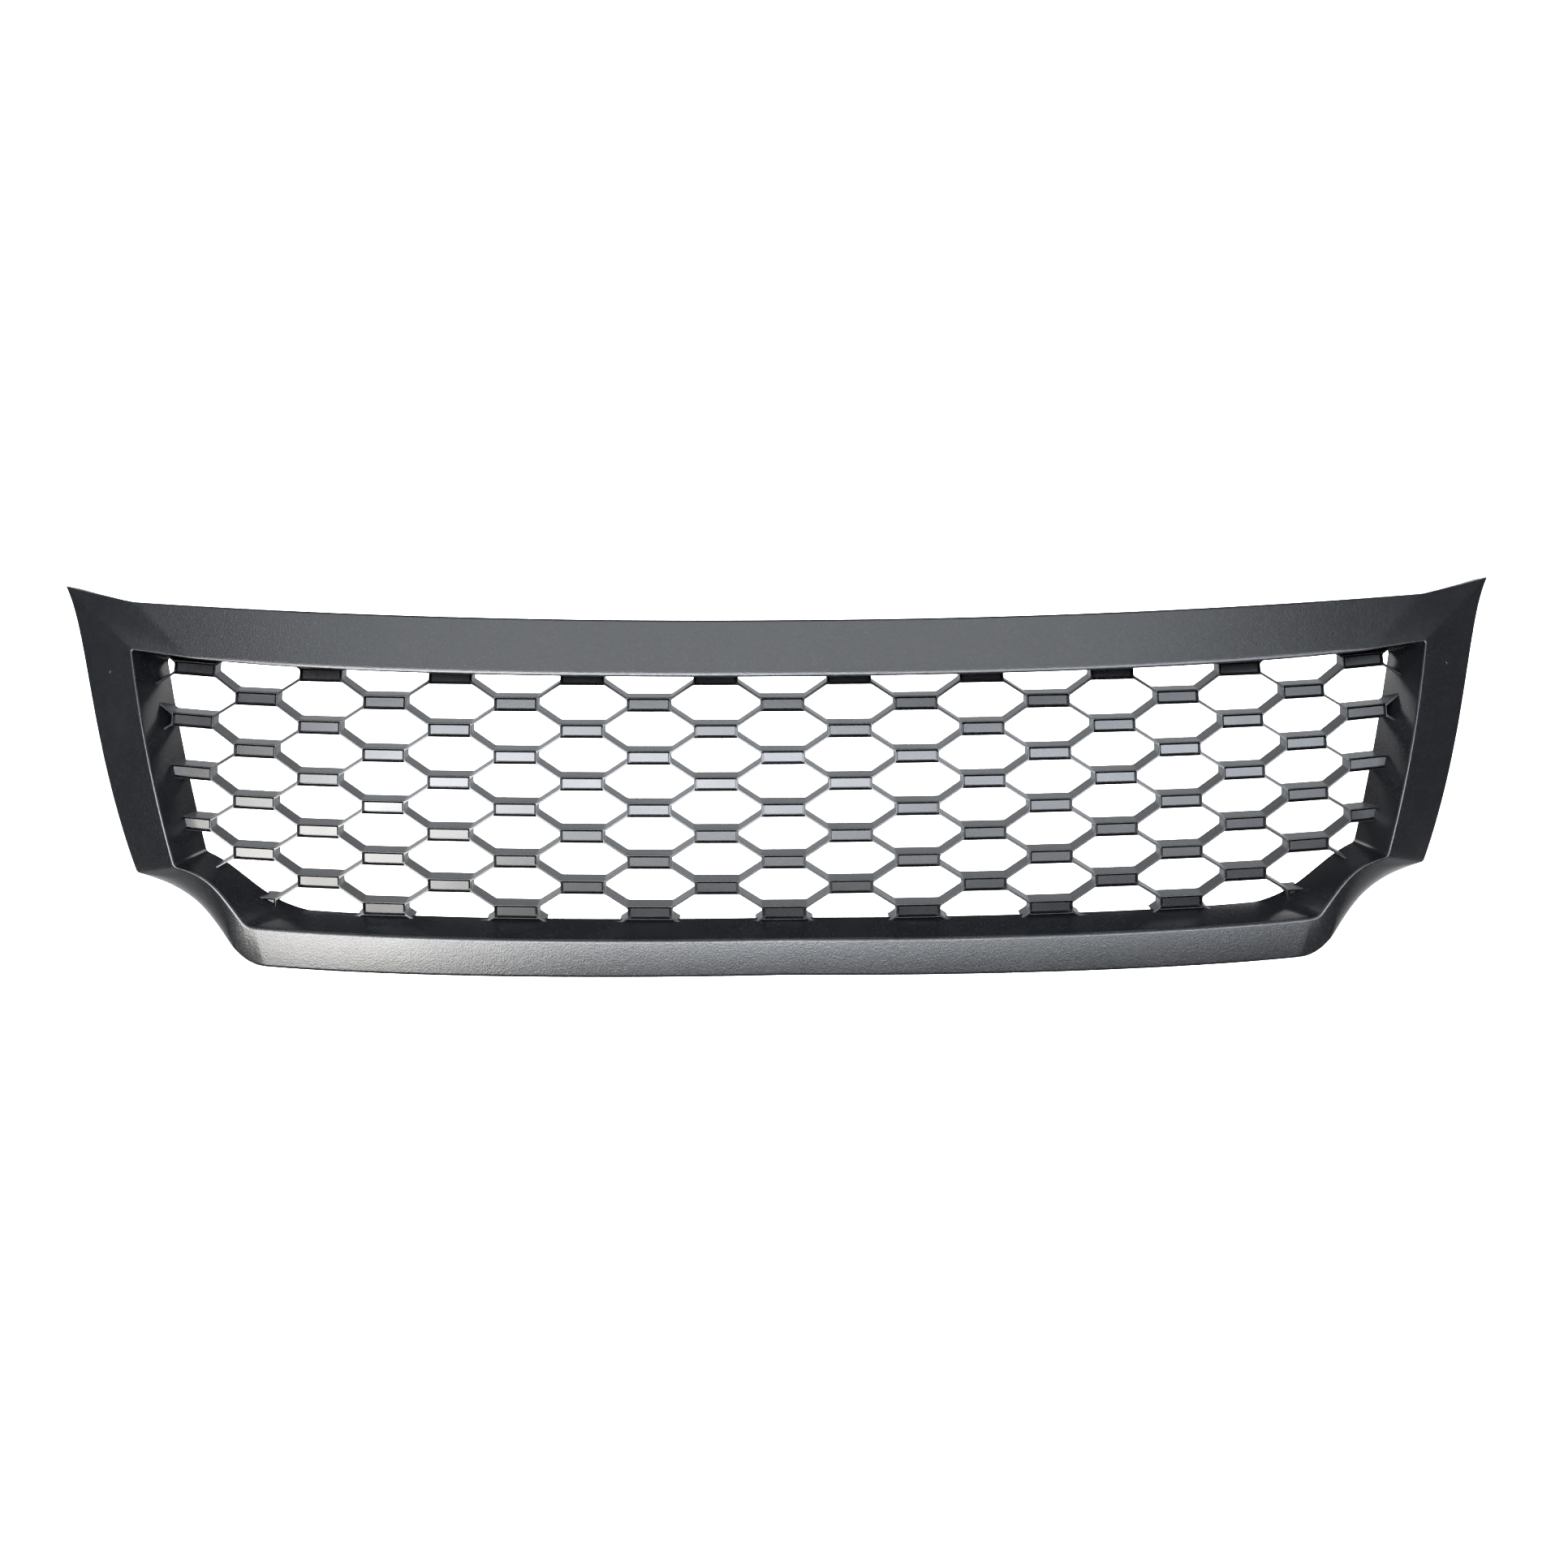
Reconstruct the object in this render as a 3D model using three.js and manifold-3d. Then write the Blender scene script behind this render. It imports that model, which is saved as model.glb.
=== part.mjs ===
// Front grille of a pickup: a moulded surround, a screwed-in honeycomb mesh insert, and its fixings.
// Millimetres. +X to the side, +Y towards the rear of the vehicle, +Z up.
// The origin is the middle of the underside of the centre top tab, where the grille rests on the body.
// Inside this file every shape is first placed on the reference surface, whose foremost point is near 0.

import * as THREE from "three";
import { mergeVertices } from "three/addons/utils/BufferGeometryUtils.js";
import Module from "manifold-3d";

const wasm = await Module();
wasm.setup();

// Reference surface: the front edges of the mesh lie on it.
const BOW = 0.0002; // sideways bow, 1/mm: 70 mm back at the wing tips
const LEAN = 0.253; // how far it leans back, mm per mm of height
const CURL = 0.001; // extra lean towards the top, 1/mm

// Mesh
const PITCH_X = 108; // between cells of one row
const PITCH_Z = 40.5; // between cells of one column
const TOP_ROW_Z = 109.2; // centre of the topmost row of cells
const BAR_HEIGHT = 11.2; // between two cells of one column
const RIB = 2; // thickness of the slanted ribs
const LIP = 1.9; // rib left above and below the pocket of a bar
const POCKET_END = 1.6; // wall at each end of a pocket
const POCKET_DEPTH = 2.6; // its floor is parallel to the front
const BLADE = 21; // depth of the mesh, front to back
const SIDE_LIFT = 3; // how far the rows of cells rise by the last column

// Shells
const FACE = 3.4; // thickness of the surround's face, front to back
const SKIRT = 16; // depth of the surround's outer return
const SKIRT_DRAFT = 3.5; // how far the return closes in over that depth
const SKIRT_WALL = 3;
const WALL = 2.5; // wall of the insert's well
const GAP = 0.3; // between parts that touch

// Insert screws: posts on the surround, ears on the insert
const POST_R = 4.5;
const POST_OUT = 9.5; // from the lip of the opening to a post's axis
const EAR_BACK = 22; // from the lip of the opening to an ear's front, front to back
const EAR = 2.6; // thickness
const EAR_WIDTH = 15;
const PILOT_R = 2.1;
const PILOT_DEPTH = 14;
const EAR_HOLE_R = 2.5;
const SCREW_R = 1.8;
const SCREW_LENGTH = 14;
const HEAD_R = 5.2;
const HEAD = 3;
const TOP_SCREWS_X = [100, 285, 430];
const SIDE_SCREWS = [[518.75, 75], [500, 0]]; // X and Z, near the opening's side edge
const BOTTOM_SCREWS_X = [120, 330];
const EDGE_TOP_Z = 120; // height of the opening's edge at the top screws, roughly
const EDGE_BOTTOM_Z = -84; // and at the bottom screws

// Top tabs and push rivets
const TAB_SEAT_Z = 139.5; // underside of every top tab
const TAB = 3;
const TAB_WIDTH = 36;
const TAB_LENGTH = 52; // behind the face
const TAB_RIVETS_X = [190, 380];
const RIVET_BACK = 36; // rivet's axis behind the face
const TAB_HOLE_R = 4.6;
const SLEEVE_R = 4.1;
const SLEEVE_DROP = 13; // below the tab's underside
const FLANGE_R = 8;
const FLANGE = 2;
const PIN_R = 2.4;
const PIN_HEAD_R = 4.5;
const PIN_HEAD = 1.6;

// Bottom tongues and their spring clips
const TONGUES_X = [70, 210, 350];
const TONGUE_Z = -101;
const TONGUE = 2.6;
const TONGUE_WIDTH = 24;
const TONGUE_LENGTH = 40; // behind the face
const CLIP_WIDTH = 14;
const CLIP_LENGTH = 20;
const CLIP_STEEL = 0.8;
const CLIP_BARB = 2.4;

// Side brackets, their spring nuts, and the pads behind the wings
const BRACKET_X = 541;
const BRACKET_Z = 48;
const BRACKET = 3;
const BRACKET_HEIGHT = 26;
const BRACKET_LENGTH = 44;
const BRACKET_HOLE_R = 4.2;
const NUT_HEIGHT = 18;
const NUT_LENGTH = 20;
const NUT_STEEL = 1;
const NUT_HOLE_R = 2.6;
const PAD_AT = [553, 105];
const PAD_SIZE = [20, 16];
const PAD_THICKNESS = 13;

const ROUND = 10; // sides of a small cylinder
const SCREW_SIDES = 8;

const FINISHES = {
  surround: { color: 0x34373a, roughness: 0.5, metalness: 0 },
  mesh: { color: 0x24272b, roughness: 0.4, metalness: 0 },
  steel: { color: 0x8d9196, roughness: 0.35, metalness: 1 },
  zinc: { color: 0xa8a79c, roughness: 0.3, metalness: 1 },
  nylon: { color: 0x161719, roughness: 0.55, metalness: 0 },
  foam: { color: 0x1d1d1f, roughness: 0.95, metalness: 0 },
};

const at = (x, z) => new THREE.Vector2(x, z);
const line = (a, b) => new THREE.LineCurve(a, b);
const bend = (a, b, c) => new THREE.QuadraticBezierCurve(a, b, c);
const sweep = (a, b, c, d) => new THREE.CubicBezierCurve(a, b, c, d);

// Half outlines in X and Z, from the top centre round to the bottom centre, in the same six stretches.
// Each stretch has a curve and its distance from the reference surface at both ends, + to the rear.
const STEPS = [6, 3, 6, 7, 2, 5];

const OUTER_EDGE = [
  [bend(at(0, 156.3), at(273, 155.8), at(538, 166.5)), -24, -24],
  [bend(at(538, 166.5), at(571, 170.8), at(605, 176.2)), -24, -8],
  [sweep(at(605, 176.2), at(579.5, 140.5), at(570, 56.5), at(531, -48.5)), -8, -8],
  [sweep(at(531, -48.5), at(467, -63.8), at(467.5, -82), at(443, -101.5)), -8, -31],
  [bend(at(443, -101.5), at(431.5, -113.7), at(417, -113.6)), -31, -36],
  [bend(at(417, -113.6), at(311, -118.4), at(0, -113.9)), -36, -36],
];

const OPENING_EDGE = [
  [bend(at(0, 114.2), at(370, 114.2), at(484, 124.6)), -30, -30],
  [bend(at(484, 124.6), at(509, 127.6), at(533.5, 130)), -30, -30],
  [bend(at(533.5, 130), at(517.5, 55), at(491.5, -37)), -30, -30],
  [sweep(at(491.5, -37), at(462, -43), at(456, -51.5), at(434, -79)), -30, -32],
  [bend(at(434, -79), at(431.5, -82), at(425, -82.3)), -32, -32],
  [bend(at(425, -82.3), at(300, -88.5), at(0, -85)), -32, -32],
];

const WELL_EDGE = [
  [bend(at(0, 117), at(240, 117), at(478, 117)), 22, 22],
  [line(at(478, 117), at(516, 117)), 22, 22],
  [line(at(516, 117), at(477.7, -36)), 22, 22],
  [sweep(at(477.7, -36), at(450, -44), at(432, -66), at(404, -73.5)), 22, 9],
  [bend(at(404, -73.5), at(397, -75.5), at(388, -76.8)), 9, 6],
  [bend(at(388, -76.8), at(300, -81), at(0, -78.1)), 6, 6],
];

function reference(x, z) {
  return BOW * x * x + LEAN * z + CURL * z * z;
}

// The closed loop of points that a half outline and its mirror image make.
function loopOf(outline) {
  const half = [];
  outline.forEach(([curve, from, to], part) => {
    for (let step = 0; step < STEPS[part]; step += 1) {
      const t = step / STEPS[part];
      const p = curve.getPoint(t);
      half.push(new THREE.Vector3(p.x, reference(p.x, p.y) + from + (to - from) * t, p.y));
    }
  });
  const [last, , end] = outline[outline.length - 1];
  const low = last.getPoint(1);
  const bottom = new THREE.Vector3(0, reference(0, low.y) + end, low.y);
  const mirrored = half.slice(1).reverse().map((p) => new THREE.Vector3(-p.x, p.y, p.z));
  return [...half, bottom, ...mirrored];
}

// A loop moved outwards by some distance in X and Z, with mitred corners, and back along Y.
function grow(loop, outwards, back = 0) {
  const MITRE_LIMIT = 2.2;
  return loop.map((p, i) => {
    const before = loop[(i + loop.length - 1) % loop.length];
    const after = loop[(i + 1) % loop.length];
    const in1 = at(p.x - before.x, p.z - before.z).normalize();
    const in2 = at(after.x - p.x, after.z - p.z).normalize();
    const n1 = at(-in1.y, in1.x);
    const n2 = at(-in2.y, in2.x);
    const n = n1.clone().add(n2).normalize();
    const reach = outwards * Math.min(MITRE_LIMIT, 1 / n.dot(n1));
    return new THREE.Vector3(p.x + n.x * reach, p.y + back, p.z + n.y * reach);
  });
}

function flatten(loop, y) {
  return loop.map((p) => new THREE.Vector3(p.x, y, p.z));
}

function signedVolume(points, triangles) {
  let total = 0;
  for (let i = 0; i < triangles.length; i += 3) {
    const [a, b, c] = [points[triangles[i]], points[triangles[i + 1]], points[triangles[i + 2]]];
    total += a.dot(b.clone().cross(c)) / 6;
  }
  return total;
}

function geometryFrom(points, triangles) {
  const faces = [...triangles];
  if (signedVolume(points, faces) < 0) {
    faces.reverse();
  }
  const coordinates = points.flatMap((p) => [p.x, p.y, p.z]);
  const geometry = new THREE.BufferGeometry();
  geometry.setAttribute("position", new THREE.Float32BufferAttribute(coordinates, 3));
  geometry.setIndex(faces);
  return geometry;
}

// The wall between two loops; the diagonals of its two halves mirror each other.
function bandBetween(count, from, to, wrap) {
  const faces = [];
  for (let i = 0; i < count; i += 1) {
    const next = (i + 1) % wrap;
    if (i < wrap / 2) {
      faces.push(from + i, to + i, to + next, from + i, to + next, from + next);
    } else {
      faces.push(from + i, to + i, from + next, to + i, to + next, from + next);
    }
  }
  return faces;
}

// A ring-shaped solid: every loop is one line of its section, and the section closes on itself.
function ringSolid(loops) {
  const count = loops[0].length;
  const points = loops.flat();
  const faces = [];
  loops.forEach((_, k) => {
    faces.push(...bandBetween(count, k * count, ((k + 1) % loops.length) * count, count));
  });
  return geometryFrom(points, faces);
}

// A solid whose first and last loops are closed by flat faces.
function plugSolid(loops) {
  const count = loops[0].length;
  const points = loops.flat();
  const cap = THREE.ShapeUtils.triangulateShape(loops[0].map((p) => at(p.x, p.z)), []);
  const faces = [];
  loops.slice(1).forEach((_, k) => {
    faces.push(...bandBetween(count, k * count, (k + 1) * count, count));
  });
  const wound = isClockwise(loops[0]);
  const lastLoop = (loops.length - 1) * count;
  cap.forEach((triangle) => {
    const same = wound === isClockwise(triangle.map((i) => points[i]));
    const [a, b, c] = same ? triangle : [...triangle].reverse();
    faces.push(a, b, c, lastLoop + c, lastLoop + b, lastLoop + a);
  });
  return geometryFrom(points, faces);
}

function isClockwise(corners) {
  return THREE.ShapeUtils.isClockWise(corners.map((p) => at(p.x, p.z)));
}

function solid(geometry) {
  const plain = geometry.clone();
  plain.deleteAttribute("normal");
  plain.deleteAttribute("uv");
  const merged = mergeVertices(plain, 1e-4);
  const mesh = new wasm.Mesh({
    numProp: 3,
    vertProperties: new Float32Array(merged.attributes.position.array),
    triVerts: new Uint32Array(merged.index.array),
  });
  return new wasm.Manifold(mesh);
}

function geometryOf(manifold) {
  const mesh = manifold.getMesh();
  const geometry = new THREE.BufferGeometry();
  geometry.setAttribute("position", new THREE.BufferAttribute(new Float32Array(mesh.vertProperties), 3));
  geometry.setIndex(new THREE.BufferAttribute(new Uint32Array(mesh.triVerts), 1));
  return geometry;
}

// A box from its lowest to its highest corner.
function box(x0, x1, y0, y1, z0, z1) {
  const geometry = new THREE.BoxGeometry(x1 - x0, y1 - y0, z1 - z0);
  return solid(geometry.translate((x0 + x1) / 2, (y0 + y1) / 2, (z0 + z1) / 2));
}

// A cylinder along Y from y0 to y1.
function rod(x, z, y0, y1, radius) {
  const geometry = new THREE.CylinderGeometry(radius, radius, y1 - y0, ROUND);
  return solid(geometry.translate(x, (y0 + y1) / 2, z));
}

// A turned part with its axis along +Z, from [radius, z] steps.
function turned(profile, sides = ROUND) {
  const points = profile.map(([radius, z]) => at(radius, z));
  return new THREE.LatheGeometry(points, sides).rotateX(Math.PI / 2);
}

const outerEdge = loopOf(OUTER_EDGE);
const openingEdge = loopOf(OPENING_EDGE);
const wellEdge = loopOf(WELL_EDGE);

// The point of the opening's edge nearest to a place, and the outward direction there.
function onOpening(x, z) {
  let best = null;
  openingEdge.forEach((a, i) => {
    const b = openingEdge[(i + 1) % openingEdge.length];
    const along = at(b.x - a.x, b.z - a.z);
    const t = THREE.MathUtils.clamp(at(x - a.x, z - a.z).dot(along) / along.lengthSq(), 0, 1);
    const p = a.clone().lerp(b, t);
    const distance = Math.hypot(p.x - x, p.z - z);
    if (best === null || distance < best.distance) {
      best = { distance, point: p, n: at(-along.y, along.x).normalize() };
    }
  });
  return best;
}

function screwPlaces() {
  const wanted = [];
  TOP_SCREWS_X.forEach((x) => wanted.push([x, EDGE_TOP_Z]));
  wanted.push(...SIDE_SCREWS);
  BOTTOM_SCREWS_X.slice().reverse().forEach((x) => wanted.push([x, EDGE_BOTTOM_Z]));
  const places = wanted.map(([x, z]) => {
    const { point, n } = onOpening(x, z);
    return { x: point.x + n.x * POST_OUT, z: point.z + n.y * POST_OUT, ear: point.y + EAR_BACK, n };
  });
  const mirrored = places.map((s) => ({ ...s, x: -s.x, n: at(-s.n.x, s.n.y) }));
  return [...places, ...mirrored.reverse()];
}

// Front of the surround's top band at a place along it, level with the tabs.
function bandFront(x) {
  const edge = OPENING_EDGE[0][0].getPoint(Math.abs(x) / OPENING_EDGE[0][0].v2.x).y;
  const top = OUTER_EDGE[0][0].getPoint(Math.abs(x) / OUTER_EDGE[0][0].v2.x).y;
  const share = (TAB_SEAT_Z - edge) / (top - edge);
  const near = reference(x, edge) + OPENING_EDGE[0][1];
  const far = reference(x, top) + OUTER_EDGE[0][1];
  return near + (far - near) * share;
}

function chinFront(x) {
  return reference(x, TONGUE_Z) + (OPENING_EDGE[5][1] + OUTER_EDGE[5][1]) / 2;
}

const mirroredPlaces = (places) => [...places.map((x) => -x).reverse(), ...places];

// The space behind the face, from some depth in it, and inside the return by some inset.
function behindFace(depth, inset) {
  const FAR = 300; // well past every part
  const front = [grow(openingEdge, 0, depth), grow(outerEdge, -inset, depth)];
  return solid(ringSolid([...front, grow(outerEdge, -inset, FAR), grow(openingEdge, 0, FAR)]));
}

// Posts, tabs, tongues and brackets start in front of the face and are trimmed to the space behind it.
function surround() {
  const BURIED_POST = 60;
  const BURIED_TAB = 20;
  const BURIED_BRACKET = 40;
  const shell = ringSolid([
    openingEdge,
    outerEdge,
    grow(outerEdge, -SKIRT_DRAFT, SKIRT),
    grow(outerEdge, -SKIRT_DRAFT - SKIRT_WALL, SKIRT),
    grow(outerEdge, -SKIRT_WALL, FACE + 1),
    grow(openingEdge, 0, FACE),
  ]);
  const behind = behindFace(2, 2);
  let body = solid(shell);
  const join = (piece) => {
    body = body.add(piece.intersect(behind));
  };
  screwPlaces().forEach((s) => join(rod(s.x, s.z, s.ear - BURIED_POST, s.ear - GAP, POST_R)));
  [...mirroredPlaces(TAB_RIVETS_X), 0].forEach((x) => {
    const y = bandFront(x);
    const half = TAB_WIDTH / 2;
    join(box(x - half, x + half, y - BURIED_TAB, y + TAB_LENGTH, TAB_SEAT_Z, TAB_SEAT_Z + TAB));
  });
  mirroredPlaces(TONGUES_X).forEach((x) => {
    const y = chinFront(x);
    const half = TONGUE_WIDTH / 2;
    join(box(x - half, x + half, y - BURIED_TAB, y + TONGUE_LENGTH, TONGUE_Z, TONGUE_Z + TONGUE));
  });
  [-1, 1].forEach((side) => {
    const x = side * BRACKET_X;
    const y = bracketRoot();
    const half = BRACKET_HEIGHT / 2;
    const across = [x - BRACKET / 2, x + BRACKET / 2];
    const along = [y - BURIED_BRACKET, y + BRACKET_LENGTH];
    join(box(...across, ...along, BRACKET_Z - half, BRACKET_Z + half));
  });
  screwPlaces().forEach((s) => {
    body = body.subtract(rod(s.x, s.z, s.ear - GAP - PILOT_DEPTH, s.ear + 5, PILOT_R));
  });
  mirroredPlaces(TAB_RIVETS_X).forEach((x) => {
    const hole = new THREE.CylinderGeometry(TAB_HOLE_R, TAB_HOLE_R, TAB * 3, ROUND).rotateX(Math.PI / 2);
    body = body.subtract(solid(hole.translate(x, bandFront(x) + RIVET_BACK, TAB_SEAT_Z + TAB / 2)));
  });
  [-1, 1].forEach((side) => {
    const hole = new THREE.CylinderGeometry(BRACKET_HOLE_R, BRACKET_HOLE_R, BRACKET * 3, ROUND);
    hole.rotateZ(Math.PI / 2).translate(side * BRACKET_X, nutAxisY(), BRACKET_Z);
    body = body.subtract(solid(hole));
  });
  return geometryOf(body);
}

function bracketRoot() {
  const FACE_AHEAD = 20; // face in front of the reference surface at the brackets
  return reference(BRACKET_X, BRACKET_Z) - FACE_AHEAD;
}

function nutAxisY() {
  return bracketRoot() + BRACKET_LENGTH - NUT_LENGTH / 2;
}

// The plate of mesh before it is trimmed to the well: cells go through it, pockets only into its bars.
function meshPlate() {
  const half = { x: 600, low: -125, high: 165 }; // before trimming, past the well on every side
  const flat = PITCH_X / 6;
  const cellHalfHeight = (PITCH_Z - BAR_HEIGHT) / 2;
  const slope = Math.atan2(cellHalfHeight - BAR_HEIGHT / 2 + RIB, flat);
  const side = BAR_HEIGHT / 2 - RIB / Math.cos(slope);
  const cells = [];
  const pockets = [];
  const pocketX = flat - POCKET_END;
  const pocketZ = BAR_HEIGHT / 2 - LIP;
  for (let column = -10; column <= 10; column += 1) {
    const x = (column * PITCH_X) / 2;
    const shift = column % 2 === 0 ? 0 : PITCH_Z / 2;
    for (let row = 0; row <= 5; row += 1) {
      const z = TOP_ROW_Z - row * PITCH_Z + shift;
      cells.push([
        at(x - flat, z + cellHalfHeight), at(x + flat, z + cellHalfHeight), at(x + 2 * flat, z + side),
        at(x + 2 * flat, z - side), at(x + flat, z - cellHalfHeight), at(x - flat, z - cellHalfHeight),
        at(x - 2 * flat, z - side), at(x - 2 * flat, z + side),
      ]);
      const bar = z - PITCH_Z / 2;
      if (row < 5) {
        pockets.push([
          at(x - pocketX, bar + pocketZ), at(x + pocketX, bar + pocketZ),
          at(x + pocketX, bar - pocketZ), at(x - pocketX, bar - pocketZ),
        ]);
      }
    }
  }
  const low = [at(-half.x, half.low), at(half.x, half.low)];
  const rim = [...low, at(half.x, half.high), at(-half.x, half.high)];
  const lift = (outlines) => outlines.map((outline) => outline.map(risen));
  return plateWithHoles(rim, lift(cells), lift(pockets));
}

// The rows run level in the middle of the mesh and rise a little at both ends.
function risen(corner) {
  const LAST_COLUMN_X = 4.5 * PITCH_X;
  return at(corner.x, corner.y + SIDE_LIFT * Math.min(1.5, (corner.x / LAST_COLUMN_X) ** 8));
}

function plateWithHoles(rim, cells, pockets) {
  const points = [];
  const faces = [];
  const put = (corners, depth) => {
    const start = points.length;
    corners.forEach((c) => {
      points.push(new THREE.Vector3(c.x, reference(c.x, c.y) + depth, c.y));
    });
    return start;
  };
  const loops = [rim, ...cells, ...pockets];
  const front = loops.map((loop) => put(loop, 0));
  const frontFaces = THREE.ShapeUtils.triangulateShape(rim, [...cells, ...pockets]);
  pushWound(faces, points, frontFaces, front[0], false);
  const through = [rim, ...cells];
  const back = through.map((loop) => put(loop, BLADE));
  const backFaces = THREE.ShapeUtils.triangulateShape(rim, cells);
  pushWound(faces, points, backFaces, back[0], true);
  through.forEach((loop, k) => pushWall(faces, loop.length, front[k], back[k]));
  pockets.forEach((loop, k) => {
    const start = front[through.length + k];
    const floor = put(loop, POCKET_DEPTH);
    pushWall(faces, loop.length, start, floor);
    pushWound(faces, points, [[0, 1, 2], [0, 2, 3]], floor, false);
  });
  return geometryFrom(points, faces);
}

// Triangles turned so that they face the front, or the back.
function pushWound(faces, points, triangles, start, backwards) {
  triangles.forEach((triangle) => {
    const corners = triangle.map((i) => start + i);
    const clockwise = isClockwise(corners.map((i) => points[i]));
    faces.push(...(clockwise === backwards ? corners : corners.reverse()));
  });
}

function pushWall(faces, count, near, far) {
  for (let i = 0; i < count; i += 1) {
    const next = (i + 1) % count;
    faces.push(near + next, near + i, far + i, near + next, far + i, far + next);
  }
}

function meshInsert() {
  const AHEAD = -250; // in front of everything
  const BEHIND = 350;
  const lead = FACE + GAP;
  const slack = 3.6; // the face falls back this much over the thickness of the wall
  const well = solid(ringSolid([
    grow(openingEdge, 0, lead),
    grow(openingEdge, WALL, lead + slack),
    grow(wellEdge, WALL),
    wellEdge,
  ]));
  const inside = [grow(openingEdge, WALL / 2, lead), grow(wellEdge, WALL / 2)];
  const core = solid(plugSolid([flatten(inside[0], AHEAD), ...inside, flatten(inside[1], BEHIND)]));
  let body = well.add(solid(meshPlate()).intersect(core));
  screwPlaces().forEach((s) => {
    const inwards = POST_OUT + 3;
    const outwards = POST_R + 3;
    const ear = new THREE.BoxGeometry(EAR_WIDTH, EAR, inwards + outwards);
    ear.translate(0, 0, (outwards - inwards) / 2).rotateY(Math.atan2(s.n.x, s.n.y));
    ear.translate(s.x, s.ear + EAR / 2, s.z);
    body = body.add(solid(ear).subtract(core));
    body = body.subtract(rod(s.x, s.z, s.ear - 5, s.ear + EAR + 5, EAR_HOLE_R));
  });
  return geometryOf(body);
}

function screw() {
  const head = GAP + EAR + GAP;
  const bite = head - SCREW_LENGTH;
  const washer = 0.9;
  const point = 3;
  const profile = [[0, bite], [SCREW_R, bite + point], [SCREW_R, head], [HEAD_R, head],
    [HEAD_R, head + washer], [HEAD_R * 0.7, head + HEAD], [0, head + HEAD]];
  return turned(profile, SCREW_SIDES).rotateX(-Math.PI / 2);
}

function rivetSleeve() {
  const top = TAB + GAP;
  const inner = PIN_R + GAP;
  const foot = -SLEEVE_DROP;
  const taper = 4;
  return turned([[inner, foot], [SLEEVE_R - 1, foot], [SLEEVE_R, foot + taper], [SLEEVE_R, top],
    [FLANGE_R, top], [FLANGE_R, top + FLANGE], [inner, top + FLANGE], [inner, foot]]);
}

function rivetPin() {
  const seat = TAB + GAP + FLANGE + GAP;
  const tip = -SLEEVE_DROP + 2;
  const taper = 3;
  const crown = seat + PIN_HEAD;
  return turned([[0, tip], [PIN_R * 0.5, tip], [PIN_R, tip + taper], [PIN_R, seat],
    [PIN_HEAD_R, seat], [PIN_HEAD_R * 0.8, crown], [0, crown]]);
}

// A bent strip: its outline in Y and Z, and its width along X.
function strip(outline, width) {
  const shape = new THREE.Shape(outline.map(([y, z]) => at(y, z)));
  const geometry = new THREE.ExtrudeGeometry(shape, { depth: width, bevelEnabled: false });
  return geometry.translate(0, 0, -width / 2).rotateY(Math.PI / 2).rotateX(Math.PI / 2);
}

// A spring clip pushed over the end of a tongue, with a barb above and below.
function springClip() {
  const clear = TONGUE / 2 + GAP;
  const out = clear + CLIP_STEEL;
  const barb = out + CLIP_BARB;
  const end = GAP;
  const shell = end + CLIP_STEEL;
  const peak = -CLIP_LENGTH * 0.3;
  const foot = -CLIP_LENGTH * 0.55;
  const outside = [[shell, out], [peak, barb], [foot, out], [-CLIP_LENGTH, out]];
  const inside = [[-CLIP_LENGTH, clear], [foot - 1, clear], [peak, barb - 1], [end, clear]];
  const upper = [...outside, ...inside];
  const lower = upper.map(([y, z]) => [y, -z]).reverse();
  return strip([...upper, ...lower], CLIP_WIDTH);
}

// A folded spring nut over the end of a side bracket, with its hole along X.
function springNut() {
  const clear = BRACKET / 2 + GAP;
  const out = clear + NUT_STEEL;
  const end = GAP;
  const upper = [[end + NUT_STEEL, out], [-NUT_LENGTH, out], [-NUT_LENGTH, clear], [end, clear]];
  const lower = upper.map(([y, z]) => [y, -z]).reverse();
  const shape = [...upper, ...lower];
  const body = solid(strip(shape, NUT_HEIGHT).rotateY(Math.PI / 2));
  const hole = new THREE.CylinderGeometry(NUT_HOLE_R, NUT_HOLE_R, BRACKET * 6, ROUND).rotateZ(Math.PI / 2);
  return geometryOf(body.subtract(solid(hole.translate(0, -NUT_LENGTH / 2, 0))));
}

// A foam block behind a wing: its front follows the face, its back is flat.
function pad(side) {
  const [x, z] = [side * PAD_AT[0], PAD_AT[1]];
  const [width, height] = PAD_SIZE;
  const back = padBack();
  const DEEP = 60; // past the face, before trimming
  const block = box(x - width / 2, x + width / 2, back - DEEP, back, z - height / 2, z + height / 2);
  return geometryOf(block.intersect(behindFace(FACE + 3 * GAP, SKIRT_WALL + 2)));
}

function padBack() {
  return reference(...PAD_AT) + OPENING_EDGE[1][1] + FACE + PAD_THICKNESS;
}

const model = new THREE.Group();

function place(name, geometry, finish, x = 0, y = 0, z = 0) {
  const mesh = new THREE.Mesh(geometry, new THREE.MeshStandardMaterial(FINISHES[finish]));
  mesh.name = name;
  mesh.position.set(x, y, z);
  model.add(mesh);
}

const numbered = (name, index) => `${name}_${String(index + 1).padStart(2, "0")}`;

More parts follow.
